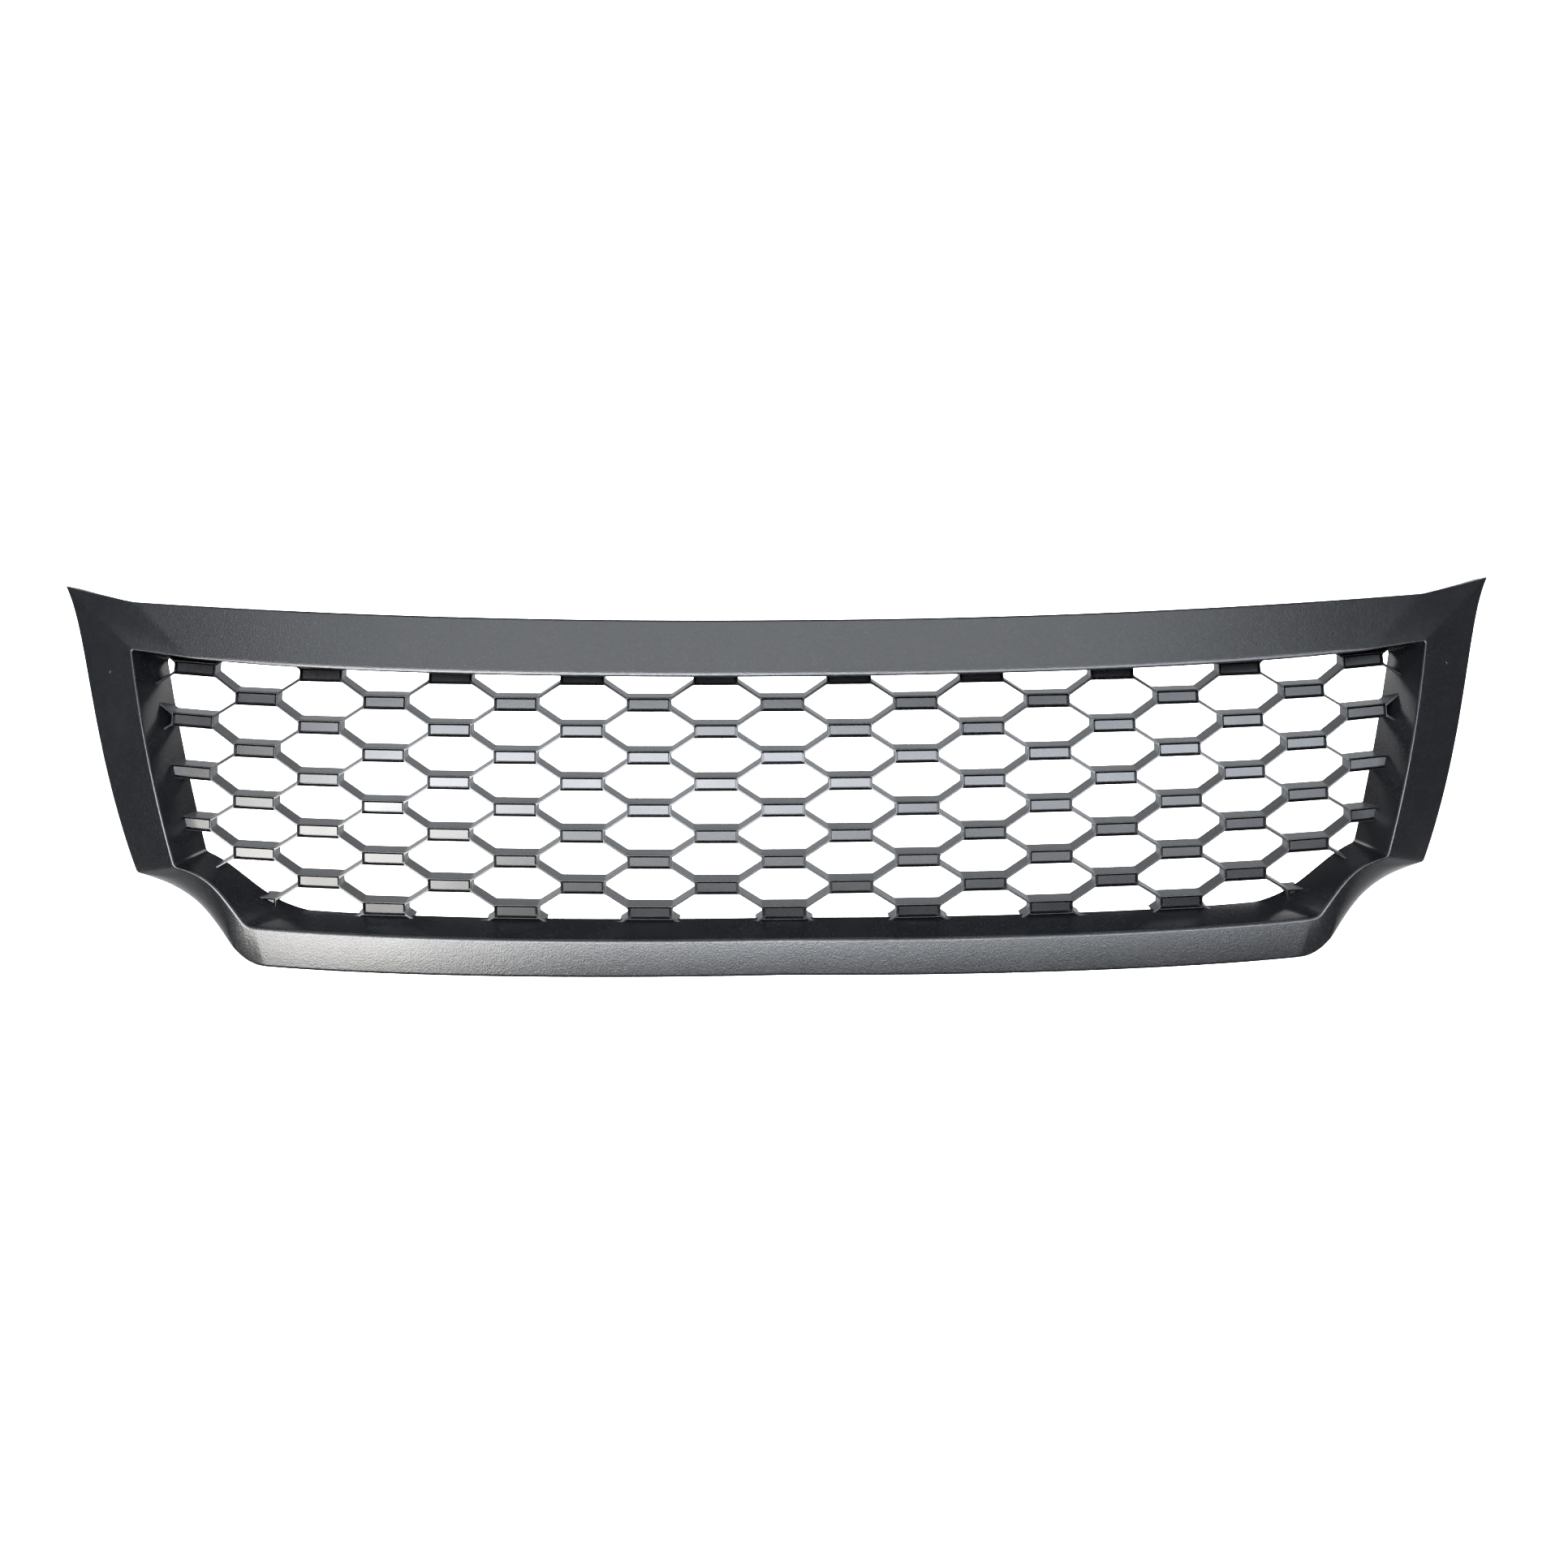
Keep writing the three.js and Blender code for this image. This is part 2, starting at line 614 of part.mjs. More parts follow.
place("surround", surround(), "surround");
place("mesh_insert", meshInsert(), "mesh");
screwPlaces().forEach((s, i) => place(numbered("insert_screw", i), screw(), "zinc", s.x, s.ear - GAP, s.z));
mirroredPlaces(TAB_RIVETS_X).forEach((x, i) => {
  const y = bandFront(x) + RIVET_BACK;
  place(numbered("rivet_sleeve", i), rivetSleeve(), "nylon", x, y, TAB_SEAT_Z);
  place(numbered("rivet_pin", i), rivetPin(), "nylon", x, y, TAB_SEAT_Z);
});
mirroredPlaces(TONGUES_X).forEach((x, i) => {
  const end = chinFront(x) + TONGUE_LENGTH;
  place(numbered("lower_clip", i), springClip(), "steel", x, end, TONGUE_Z + TONGUE / 2);
});
[-1, 1].forEach((side, i) => {
  const hand = ["left", "right"][i];
  const end = bracketRoot() + BRACKET_LENGTH;
  place(`side_nut_${hand}`, springNut(), "steel", side * BRACKET_X, end, BRACKET_Z);
  place(`wing_pad_${hand}`, pad(side), "foam");
});

model.position.set(0, -bandFront(0) - TAB_LENGTH / 2 - FACE, -TAB_SEAT_Z);

export default model;
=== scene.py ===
import math

import bmesh
import bpy
import numpy as np
from mathutils import Matrix, Vector
from mathutils.geometry import delaunay_2d_cdt


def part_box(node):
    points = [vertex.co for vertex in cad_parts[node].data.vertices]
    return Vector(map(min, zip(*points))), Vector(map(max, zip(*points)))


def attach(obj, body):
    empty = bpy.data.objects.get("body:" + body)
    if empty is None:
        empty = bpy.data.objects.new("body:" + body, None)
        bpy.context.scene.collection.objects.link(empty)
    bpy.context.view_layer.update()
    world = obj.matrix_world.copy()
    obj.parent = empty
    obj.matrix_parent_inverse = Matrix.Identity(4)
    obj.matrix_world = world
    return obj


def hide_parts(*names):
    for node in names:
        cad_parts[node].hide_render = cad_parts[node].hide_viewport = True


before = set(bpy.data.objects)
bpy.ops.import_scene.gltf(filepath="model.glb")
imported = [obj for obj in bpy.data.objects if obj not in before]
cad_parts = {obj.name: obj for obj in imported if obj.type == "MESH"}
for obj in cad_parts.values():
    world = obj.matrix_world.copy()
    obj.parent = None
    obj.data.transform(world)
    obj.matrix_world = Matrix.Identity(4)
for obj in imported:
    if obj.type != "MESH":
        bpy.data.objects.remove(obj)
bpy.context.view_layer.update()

# All shapes are made in millimetres on the reference surface, then moved to the frame of the record.
BOW, LEAN, CURL = 0.0002, 0.253, 0.001
PITCH_X, PITCH_Z, TOP_ROW_Z, BAR_HEIGHT = 108.0, 40.5, 109.2, 11.2
RIB, LIP, POCKET_END, POCKET, BLADE = 2.0, 1.9, 1.6, 2.6, 21.0
GROOVE, GROOVE_DEPTH = 1.45, 7.0
SIDE_LIFT = 3.0
FACE, SKIRT, SKIRT_DRAFT, SKIRT_WALL, WALL, GAP = 3.4, 16.0, 3.5, 3.0, 2.5, 0.3
POST_R, EAR, EAR_WIDTH, PILOT_R, PILOT_DEPTH, EAR_HOLE_R = 4.5, 2.6, 15.0, 2.1, 14.0, 2.5
SCREW_R, SCREW_LENGTH, HEAD_R, HEAD, POST_OUT = 1.8, 14.0, 5.2, 3.0, 9.5
TAB_SEAT_Z, TAB, TAB_WIDTH, TAB_LENGTH, RIVET_BACK, TAB_HOLE_R = 139.5, 3.0, 36.0, 52.0, 36.0, 4.6
TAB_RIVETS_X = (190.0, 380.0)
SLEEVE_R, SLEEVE_DROP, FLANGE_R, FLANGE, PIN_R, PIN_HEAD_R, PIN_HEAD = 4.1, 13.0, 8.0, 2.0, 2.4, 4.5, 1.6
TONGUES_X, TONGUE_Z, TONGUE, TONGUE_WIDTH, TONGUE_LENGTH = (70.0, 210.0, 350.0), -101.0, 2.6, 24.0, 40.0
CLIP_WIDTH, CLIP_LENGTH, CLIP_STEEL, CLIP_BARB = 14.0, 20.0, 0.8, 2.4
BRACKET_X, BRACKET_Z, BRACKET, BRACKET_HEIGHT, BRACKET_LENGTH = 541.0, 48.0, 3.0, 26.0, 44.0
BRACKET_HOLE_R, NUT_HEIGHT, NUT_LENGTH, NUT_STEEL, NUT_HOLE_R = 4.2, 18.0, 20.0, 1.0, 2.6

STEPS = (64, 26, 56, 48, 14, 60)
OUTER_EDGE = (
    (((0, 156.3), (273, 155.8), (538, 166.5)), -24, -24),
    (((538, 166.5), (571, 170.8), (605, 176.2)), -24, -8),
    (((605, 176.2), (579.5, 140.5), (570, 56.5), (531, -48.5)), -8, -8),
    (((531, -48.5), (467, -63.8), (467.5, -82), (443, -101.5)), -8, -31),
    (((443, -101.5), (431.5, -113.7), (417, -113.6)), -31, -36),
    (((417, -113.6), (311, -118.4), (0, -113.9)), -36, -36),
)
OPENING_EDGE = (
    (((0, 114.2), (370, 114.2), (484, 124.6)), -30, -30),
    (((484, 124.6), (509, 127.6), (533.5, 130)), -30, -30),
    (((533.5, 130), (517.5, 55), (491.5, -37)), -30, -30),
    (((491.5, -37), (462, -43), (456, -51.5), (434, -79)), -30, -32),
    (((434, -79), (431.5, -82), (425, -82.3)), -32, -32),
    (((425, -82.3), (300, -88.5), (0, -85)), -32, -32),
)
WELL_EDGE = (
    (((0, 117), (240, 117), (478, 117)), 22, 22),
    (((478, 117), (516, 117)), 22, 22),
    (((516, 117), (477.7, -36)), 22, 22),
    (((477.7, -36), (450, -44), (432, -66), (404, -73.5)), 22, 9),
    (((404, -73.5), (397, -75.5), (388, -76.8)), 9, 6),
    (((388, -76.8), (300, -81), (0, -78.1)), 6, 6),
)
# How far each corner of an outline is rounded off: crease, tip or wing corner, lower wing corner, chin corner.
OUTER_ROUNDING = (9, 4, 4, 6, 6)
OPENING_ROUNDING = (4, 5, 6, 5, 5)
WELL_ROUNDING = (3, 7, 6, 5, 5)


def reference(x, z):
    return BOW * x * x + LEAN * z + CURL * z * z


def middle_band_front():
    """Front of the top band in the middle, level with the tabs."""
    low, high = OPENING_EDGE[0][0][0][1], OUTER_EDGE[0][0][0][1]
    share = (TAB_SEAT_Z - low) / (high - low)
    near, far = reference(0, low) + OPENING_EDGE[0][1], reference(0, high) + OUTER_EDGE[0][1]
    return near + (far - near) * share


SHIFT = Vector((0, -middle_band_front() - TAB_LENGTH / 2 - FACE, -TAB_SEAT_Z))


def bezier(points, t):
    stage = [np.tile(np.array(p, float), (len(t), 1)) for p in points]
    while len(stage) > 1:
        stage = [a + (b - a) * t[:, None] for a, b in zip(stage, stage[1:])]
    return stage[0]


def smoothstep(x):
    x = np.clip(x, 0, 1)
    return x * x * (3 - 2 * x)


def outline_loop(outline, rounding):
    """The closed loop of x, y, z that a half outline and its mirror image make, with its corners rounded."""
    rows, corners = [], []
    for (points, start, end), count in zip(outline, STEPS):
        u = np.arange(count) / count
        t = 0.3 * u + 0.7 * (0.5 - 0.5 * np.cos(np.pi * u))
        corners.append(sum(len(r) for r in rows))
        rows.append(np.column_stack([bezier(points, t), start + (end - start) * t]))
    last = outline[-1]
    rows.append(np.array([[last[0][-1][0], last[0][-1][1], last[2]]], float))
    half = np.vstack(rows)
    loop = np.vstack([half, half[1:-1][::-1] * (-1, 1, 1)])
    closed = np.vstack([loop, loop[:1]])
    along = np.concatenate([[0], np.cumsum(np.linalg.norm(np.diff(closed[:, :2], axis=0), axis=1))])
    total = along[-1]
    window = np.full(len(loop), 2.0)
    for corner, width in zip(corners[1:], rounding):
        for index in (corner, len(loop) - corner):
            gap = np.abs(along[:-1] - along[index])
            gap = np.minimum(gap, total - gap)
            window = np.maximum(window, width * smoothstep(1.6 - gap / width))
    taps = np.linspace(-0.5, 0.5, 15)
    out = np.zeros_like(loop)
    for tap in taps:
        place = (along[:-1] + tap * window) % total
        out += np.column_stack([np.interp(place, along, closed[:, k]) for k in range(3)])
    out /= len(taps)
    return np.column_stack([out[:, 0], reference(out[:, 0], out[:, 1]) + out[:, 2], out[:, 1]])


def neighbours(loop):
    return np.roll(loop, 1, axis=0), np.roll(loop, -1, axis=0)


def outward(loop):
    """Unit normals in X and Z, away from the inside of a clockwise loop."""
    before, after = neighbours(loop)
    tangent = (after - before)[:, [0, 2]]
    tangent /= np.linalg.norm(tangent, axis=1)[:, None]
    return np.column_stack([-tangent[:, 1], tangent[:, 0]])


def grown(loop, distance, back=0.0):
    normal = outward(loop)
    return np.column_stack([
        loop[:, 0] + normal[:, 0] * distance, loop[:, 1] + back, loop[:, 2] + normal[:, 1] * distance,
    ])


OPENING = outline_loop(OPENING_EDGE, OPENING_ROUNDING)
OUTER = outline_loop(OUTER_EDGE, OUTER_ROUNDING)
WELL = outline_loop(WELL_EDGE, WELL_ROUNDING)

# The face is ruled from the opening's edge to the outer edge.
RULING = (OUTER - OPENING)[:, [0, 2]]
SPAN = np.linalg.norm(RULING, axis=1)
RULING = RULING / SPAN[:, None]


def eased(values, reach=6):
    return sum(np.roll(values, k) for k in range(-reach, reach + 1)) / (2 * reach + 1)


STRETCH_IN = eased(1 / np.clip((RULING * outward(OPENING)).sum(axis=1), 0.45, 1))
STRETCH_OUT = eased(1 / np.clip((RULING * outward(OUTER)).sum(axis=1), 0.45, 1))
CROWN = 0.5


def face_ring(share, depth):
    """A line of the face at some share of the way from the opening to the outer edge, and some depth behind it."""
    share = np.asarray(share) * np.ones(len(OPENING))
    y = OPENING[:, 1] + (OUTER - OPENING)[:, 1] * share - CROWN * 4 * share * (1 - share) + depth
    xz = OPENING[:, [0, 2]] + RULING * (SPAN * share)[:, None]
    return np.column_stack([xz[:, 0], y, xz[:, 1]])


def lip_ring(inset, depth):
    return face_ring(inset * STRETCH_IN / SPAN, depth)


def rim_ring(inset, depth):
    return face_ring(1 - (inset + TRIM) * STRETCH_OUT / SPAN, depth)


def skirt_ring(inset, depth):
    ring = rim_ring(inset, 0)
    ring[:, 1] = OUTER[:, 1] + depth
    return ring


def stretch_mask(first, last, fade=8):
    """1 from one corner of the half outline to another and on the mirrored side, fading out at both corners."""
    starts = np.concatenate([[-fade], np.cumsum(STEPS)])
    starts[-1] += fade + 1
    index = np.arange(len(OPENING))
    index = np.minimum(index, len(OPENING) - index)
    return smoothstep((index - starts[first]) / fade) * smoothstep((starts[last] - index) / fade)


# The face's roundings: at the opening's lip, and at the outer edge, where they are long over the S-shaped corners.
LIP_IN = 2.2 + 2.6 * stretch_mask(0, 1, 16)
LIP_DEEP = 1.7 + 0.8 * stretch_mask(0, 1, 16)
TRIM = 0.15 - 1.6 * stretch_mask(3, 4, 16)
RIM_IN = 1.5 + 18.0 * stretch_mask(3, 4, 16) + 1.0 * stretch_mask(4, 6)
RIM_DEEP = 1.5 + 9.0 * stretch_mask(3, 4, 16) + 1.0 * stretch_mask(4, 6)


def fall(inset):
    """How far the rounding at the outer edge has taken the face back."""
    share = np.clip(1 - inset / RIM_IN, 0, 1)
    return RIM_DEEP * (1 - np.sqrt(1 - share**2))


def face_at(x, z):
    """How far back the face is at a place on it."""
    dx, dz = x - OPENING[:, 0], z - OPENING[:, 2]
    along = dx * RULING[:, 0] + dz * RULING[:, 1]
    miss = np.abs(dx * RULING[:, 1] - dz * RULING[:, 0])
    miss = miss + 1000 * (along < -1) + 1000 * (along > SPAN + 1)
    nearest = int(np.argmin(miss))
    share = along[nearest] / SPAN[nearest]
    return OPENING[nearest, 1] + (OUTER[nearest, 1] - OPENING[nearest, 1]) * share


# ---- Meshes

def outward_faces(vertices, faces):
    points = np.asarray(vertices, float)
    total = 0.0
    for face in faces:
        first = points[face[0]]
        for b, c in zip(face[1:], face[2:]):
            total += np.dot(first, np.cross(points[b], points[c]))
    return faces if total > 0 else [face[::-1] for face in faces]


def solid(name, vertices, faces):
    mesh = bpy.data.meshes.new(name)
    mesh.from_pydata([tuple(v) for v in vertices], [], outward_faces(vertices, faces))
    mesh.update()
    piece = bpy.data.objects.new(name, mesh)
    bpy.context.scene.collection.objects.link(piece)
    return piece


def band(count, start, end):
    return [(start + i, end + i, end + (i + 1) % count, start + (i + 1) % count) for i in range(count)]


def ring_solid(name, loops):
    """Closed loops joined one to the next, and the last to the first."""
    count = len(loops[0])
    faces = []
    for k in range(len(loops)):
        faces += band(count, k * count, (k + 1) % len(loops) * count)
    return solid(name, np.vstack(loops), faces)


def stack_solid(name, loops):
    """Loops joined one to the next, with flat ends."""
    count = len(loops[0])
    faces = [tuple(range(count)), tuple(reversed(range((len(loops) - 1) * count, len(loops) * count)))]
    for k in range(len(loops) - 1):
        faces += band(count, k * count, (k + 1) * count)
    return solid(name, np.vstack(loops), faces)


def lathe(name, profile, sides=48):
    """A body turned about Z from (radius, height) steps that start and end on the axis, or that close on themselves."""
    closed = profile[0][0] > 0
    vertices, rows = [], []
    for radius, height in profile:
        if radius == 0:
            rows.append([len(vertices)])
            vertices.append((0, 0, height))
        else:
            rows.append(list(range(len(vertices), len(vertices) + sides)))
            vertices += [
                (radius * math.cos(math.tau * i / sides), radius * math.sin(math.tau * i / sides), height)
                for i in range(sides)
            ]
    faces = []
    pairs = list(zip(rows, rows[1:])) + ([(rows[-1], rows[0])] if closed else [])
    for low, high in pairs:
        for i in range(sides):
            j = (i + 1) % sides
            if len(low) == 1:
                faces.append((low[0], high[i], high[j]))
            elif len(high) == 1:
                faces.append((low[i], high[0], low[j]))
            else:
                faces.append((low[i], high[i], high[j], low[j]))
    return solid(name, vertices, faces)


def merged(name, pieces):
    """Separate closed bodies put together in one mesh."""
    vertices, faces = [], []
    for piece in pieces:
        start = len(vertices)
        matrix = piece.matrix_basis
        vertices += [matrix @ v.co for v in piece.data.vertices]
        faces += [tuple(start + i for i in face.vertices) for face in piece.data.polygons]
        discard(piece)
    mesh = bpy.data.meshes.new(name)
    mesh.from_pydata(vertices, [], faces)
    mesh.update()
    whole = bpy.data.objects.new(name, mesh)
    bpy.context.scene.collection.objects.link(whole)
    return whole


def discard(piece):
    mesh = piece.data
    bpy.data.objects.remove(piece)
    if mesh.users == 0:
        bpy.data.meshes.remove(mesh)


def combine(base, other, operation):
    modifier = base.modifiers.new("combine", "BOOLEAN")
    modifier.operation = operation
    modifier.solver = "MANIFOLD"
    modifier.object = other
    bpy.context.view_layer.update()
    result = bpy.data.meshes.new_from_object(base.evaluated_get(bpy.context.evaluated_depsgraph_get()))
    if len(result.polygons) in (0, len(base.data.polygons)):
        raise RuntimeError(f"{operation} of {base.name} and {other.name} did nothing")
    base.modifiers.clear()
    old = base.data
    base.data = result
    bpy.data.meshes.remove(old)
    result.name = base.name
    discard(other)
    return base


def shaded(piece, angle):
    """Smooth shading with sharp edges kept, and normals that leave flat faces flat."""
    piece.data.shade_smooth()
    piece.data.set_sharp_from_angle(angle=math.radians(angle))
    modifier = piece.modifiers.new("weighted", "WEIGHTED_NORMAL")
    modifier.keep_sharp = True
    modifier.weight = 60
    return piece


def settled(piece, body, slot, *nodes, place=None):
    """Moves a piece made in millimetres to its place in the frame and hands it to its body."""
    if place is None:
        place = Matrix.Translation(SHIFT)
    piece.matrix_world = Matrix.Scale(0.001, 4) @ place
    if piece.data.users == 1:
        piece.data.transform(piece.matrix_world)
        piece.matrix_world = Matrix.Identity(4)
    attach(piece, body)
    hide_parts(*nodes)
    return piece


def box_of(node):
    """A CAD node's box in millimetres on the reference surface."""
    low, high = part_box(node)
    return low * 1000 - SHIFT, high * 1000 - SHIFT


def arc(centre, radius, start, end, steps):
    angles = [math.radians(start + (end - start) * i / steps) for i in range(steps + 1)]
    return [(centre[0] + radius * math.cos(a), centre[1] + radius * math.sin(a)) for a in angles]


def rounded_rectangle(x0, x1, y0, y1, radius, steps=5):
    return (
        arc((x1 - radius, y1 - radius), radius, 0, 90, steps) + arc((x0 + radius, y1 - radius), radius, 90, 180, steps)
        + arc((x0 + radius, y0 + radius), radius, 180, 270, steps) + arc((x1 - radius, y0 + radius), radius, 270, 360, steps)
    )


def shrunk(points, inset):
    """A convex outline moved inwards."""
    p = np.array(points, float)
    before, after = neighbours(p)
    tangent = after - before
    tangent /= np.linalg.norm(tangent, axis=1)[:, None]
    centre = p.mean(axis=0)
    normal = np.column_stack([tangent[:, 1], -tangent[:, 0]])
    if ((p - centre) * normal).sum() < 0:
        normal = -normal
    return p - normal * inset


def lying_on(points, level):
    """Points in X and Y at some height."""
    return np.array([(x, y, level) for x, y in points])


def tab_plate(name, x, width, root, end, low, thick, bury):
    """A flat tab that leaves the face and runs to the rear, with rounded free corners and soft edges."""
    corner = 5.0
    half = width / 2
    rear = arc((x + half - corner, end - corner), corner, 0, 90, 6)
    rear += arc((x - half + corner, end - corner), corner, 90, 180, 6)
    front = [(x - half + width * i / 8, None) for i in range(9)]
    loops = []
    for level, inset in ((low, 0.4), (low + 0.4, 0), (low + thick - 0.4, 0), (low + thick, 0.4)):
        rows = [(px + math.copysign(inset, x - px), py - inset, level) for px, py in rear]
        for px, _ in front:
            px = px + inset * (x - px) / half
            rows.append((px, face_at(px, level) + bury, level))
        loops.append(np.array(rows))
    return stack_solid(name, loops)


def fin(name, x, root_y, low, high, reach, thick=1.6):
    """A thin triangular rib under a tab, from the face to the tab."""
    side = []
    for px in (x - thick / 2, x + thick / 2):
        side.append(np.array([
            (px, face_at(px, high) + 1.7, high), (px, face_at(px, high) + reach, high),
            (px, face_at(px, high) + reach - 1.5, high - 1.0), (px, face_at(px, low) + FACE + 1.5, low),
            (px, face_at(px, low) + 1.7, low),
        ]))
    return stack_solid(name, side)


def upright_rod(name, x, z, y0, y1, radius, sides=36):
    rod = lathe(name, [(0, y0), (radius, y0), (radius, y1), (0, y1)], sides)
    rod.data.transform(Matrix.Translation((x, 0, z)) @ Matrix.Rotation(math.radians(-90), 4, "X"))
    return rod


def screw_places():
    """Axis, front of the ear and the way out from the opening, for each insert screw."""
    places = []
    for index in range(1, 15):
        low, high = box_of(f"insert_screw_{index:02d}")
        x, z = (low.x + high.x) / 2, (low.z + high.z) / 2
        gap = np.hypot(OPENING[:, 0] - x, OPENING[:, 2] - z)
        nearest = int(np.argmin(gap))
        way = np.array([x - OPENING[nearest, 0], z - OPENING[nearest, 2]])
        places.append((x, z, high.y - HEAD - EAR - GAP, way / np.linalg.norm(way)))
    return places


SCREWS = screw_places()


def make_surround():
    rings = [lip_ring(0, FACE - 0.3), lip_ring(0, LIP_DEEP)]
    for angle in (15, 30, 45, 60, 75, 90):
        a = math.radians(angle)
        rings.append(lip_ring(LIP_IN * (1 - math.cos(a)), LIP_DEEP * (1 - math.sin(a))))
    first = LIP_IN * STRETCH_IN / SPAN
    last = 1 - (RIM_IN + TRIM) * STRETCH_OUT / SPAN
    for share in (0.14, 0.28, 0.42, 0.58, 0.72, 0.86):
        rings.append(face_ring(first + (last - first) * share, 0))
    for angle in (90, 80, 70, 60, 50, 40, 30, 20, 10, 0):
        a = math.radians(angle)
        rings.append(rim_ring(RIM_IN * (1 - math.cos(a)), RIM_DEEP * (1 - math.sin(a))))
    rings += [
        skirt_ring(SKIRT_DRAFT * 0.5, SKIRT * 0.5), skirt_ring(SKIRT_DRAFT - 0.1, SKIRT - 0.5),
        skirt_ring(SKIRT_DRAFT + 0.4, SKIRT), skirt_ring(SKIRT_DRAFT + SKIRT_WALL - 0.4, SKIRT),
        skirt_ring(SKIRT_DRAFT + SKIRT_WALL - 0.1, SKIRT - 0.5), skirt_ring(SKIRT_WALL + 1.2, FACE + 4 + fall(SKIRT_WALL) / 2),
        *(rim_ring(inset, FACE + fall(inset)) for inset in (SKIRT_WALL + 3, 11, 17)),
        face_ring(0.4, FACE), lip_ring(2, FACE), lip_ring(0.3, FACE),
    ]
    body = ring_solid("surround_shell", rings)

    added = []
    for x, z, ear, _ in SCREWS:
        sides = 36
        circle = [(x + POST_R * math.cos(math.tau * i / sides), z + POST_R * math.sin(math.tau * i / sides))
                  for i in range(sides)]
        root = np.array([(px, face_at(px, pz) + 1.7, pz) for px, pz in circle])
        top = ear - GAP
        added.append(stack_solid("post", [
            root, np.array([(px, top - 0.4, pz) for px, pz in circle]),
            np.array([(x + (px - x) * 0.92, top, z + (pz - z) * 0.92) for px, pz in circle]),
        ]))
    for x in sorted([-v for v in TAB_RIVETS_X] + [0.0] + list(TAB_RIVETS_X)):
        root = face_at(x, TAB_SEAT_Z)
        added.append(tab_plate("tab", x, TAB_WIDTH, root, root + TAB_LENGTH, TAB_SEAT_Z, TAB, 1.7))
        for side in (-1, 1):
            added.append(fin("fin", x + side * 13, root, TAB_SEAT_Z - 9, TAB_SEAT_Z + 0.5, 22))
    for x in sorted([-v for v in TONGUES_X] + list(TONGUES_X)):
        root = face_at(x, TONGUE_Z)
        end = reference(x, TONGUE_Z) - 34 + TONGUE_LENGTH
        added.append(tab_plate("tongue", x, TONGUE_WIDTH, root, end, TONGUE_Z, TONGUE, 1.7))
    for side in (-1, 1):
        x = side * BRACKET_X
        root = reference(BRACKET_X, BRACKET_Z) - 20
        half, end, corner = BRACKET_HEIGHT / 2, root + BRACKET_LENGTH, 5.0
        rear = arc((end - corner, BRACKET_Z + half - corner), corner, 90, 0, 6)
        rear += arc((end - corner, BRACKET_Z - half + corner), corner, 0, -90, 6)
        loops = []
        for px, inset in ((x - 1.5, 0.4), (x - 1.1, 0), (x + 1.1, 0), (x + 1.5, 0.4)):
            rows = [(px, py - inset, pz + math.copysign(inset, BRACKET_Z - pz)) for py, pz in rear]
            for i in range(9):
                pz = BRACKET_Z - half + inset + (BRACKET_HEIGHT - 2 * inset) * i / 8
                rows.append((px, face_at(px, pz) + 1.7, pz))
            loops.append(np.array(rows))
        added.append(stack_solid("bracket", loops))
    for extra in added:
        body = combine(body, extra, "UNION")

    cuts = []
    for x, z, ear, _ in SCREWS:
        cuts.append(upright_rod("pilot", x, z, ear - GAP - PILOT_DEPTH, ear + 5, PILOT_R))
    for x in [-v for v in TAB_RIVETS_X] + list(TAB_RIVETS_X):
        root = face_at(x, TAB_SEAT_Z)
        hole = lathe("hole", [(0, -3), (TAB_HOLE_R, -3), (TAB_HOLE_R, 6), (0, 6)], 48)
        hole.data.transform(Matrix.Translation((x, root + RIVET_BACK, TAB_SEAT_Z)))
        cuts.append(hole)
    for side in (-1, 1):
        low, high = box_of("side_nut_left" if side < 0 else "side_nut_right")
        hole = lathe("hole", [(0, -5), (BRACKET_HOLE_R, -5), (BRACKET_HOLE_R, 5), (0, 5)], 48)
        axis_y = high.y - GAP - NUT_STEEL - NUT_LENGTH / 2
        hole.data.transform(Matrix.Translation((side * BRACKET_X, axis_y, BRACKET_Z))
                            @ Matrix.Rotation(math.radians(90), 4, "Y"))
        cuts.append(hole)
    body = combine(body, merged("cuts", cuts), "DIFFERENCE")
    body.name = "surround_shell"
    return settled(shaded(body, 40), "grille", "surround_plastic", "surround")


# ---- Mesh insert

def risen(loop):
    loop = np.array(loop, float)
    loop[:, 1] += SIDE_LIFT * np.minimum(1.5, (loop[:, 0] / (4.5 * PITCH_X)) ** 8)
    return loop


def softened(corners, radius, steps=4):
    """A convex outline with rounded corners."""
    points = []
    count = len(corners)
    for i in range(count):
        here = np.array(corners[i], float)
        before = np.array(corners[i - 1], float) - here
        after = np.array(corners[(i + 1) % count], float) - here
        reach = min(radius, 0.45 * np.linalg.norm(before), 0.45 * np.linalg.norm(after))
        a = here + before / np.linalg.norm(before) * reach
        b = here + after / np.linalg.norm(after) * reach
        for k in range(steps + 1):
            t = k / steps
            points.append((1 - t) ** 2 * a + 2 * t * (1 - t) * here + t * t * b)
    return np.array(points)


def rectangle(x, z, half_width, half_height, radius):
    corners = [(x - half_width, z + half_height), (x + half_width, z + half_height),
               (x + half_width, z - half_height), (x - half_width, z - half_height)]
    return softened(corners, radius, 3)


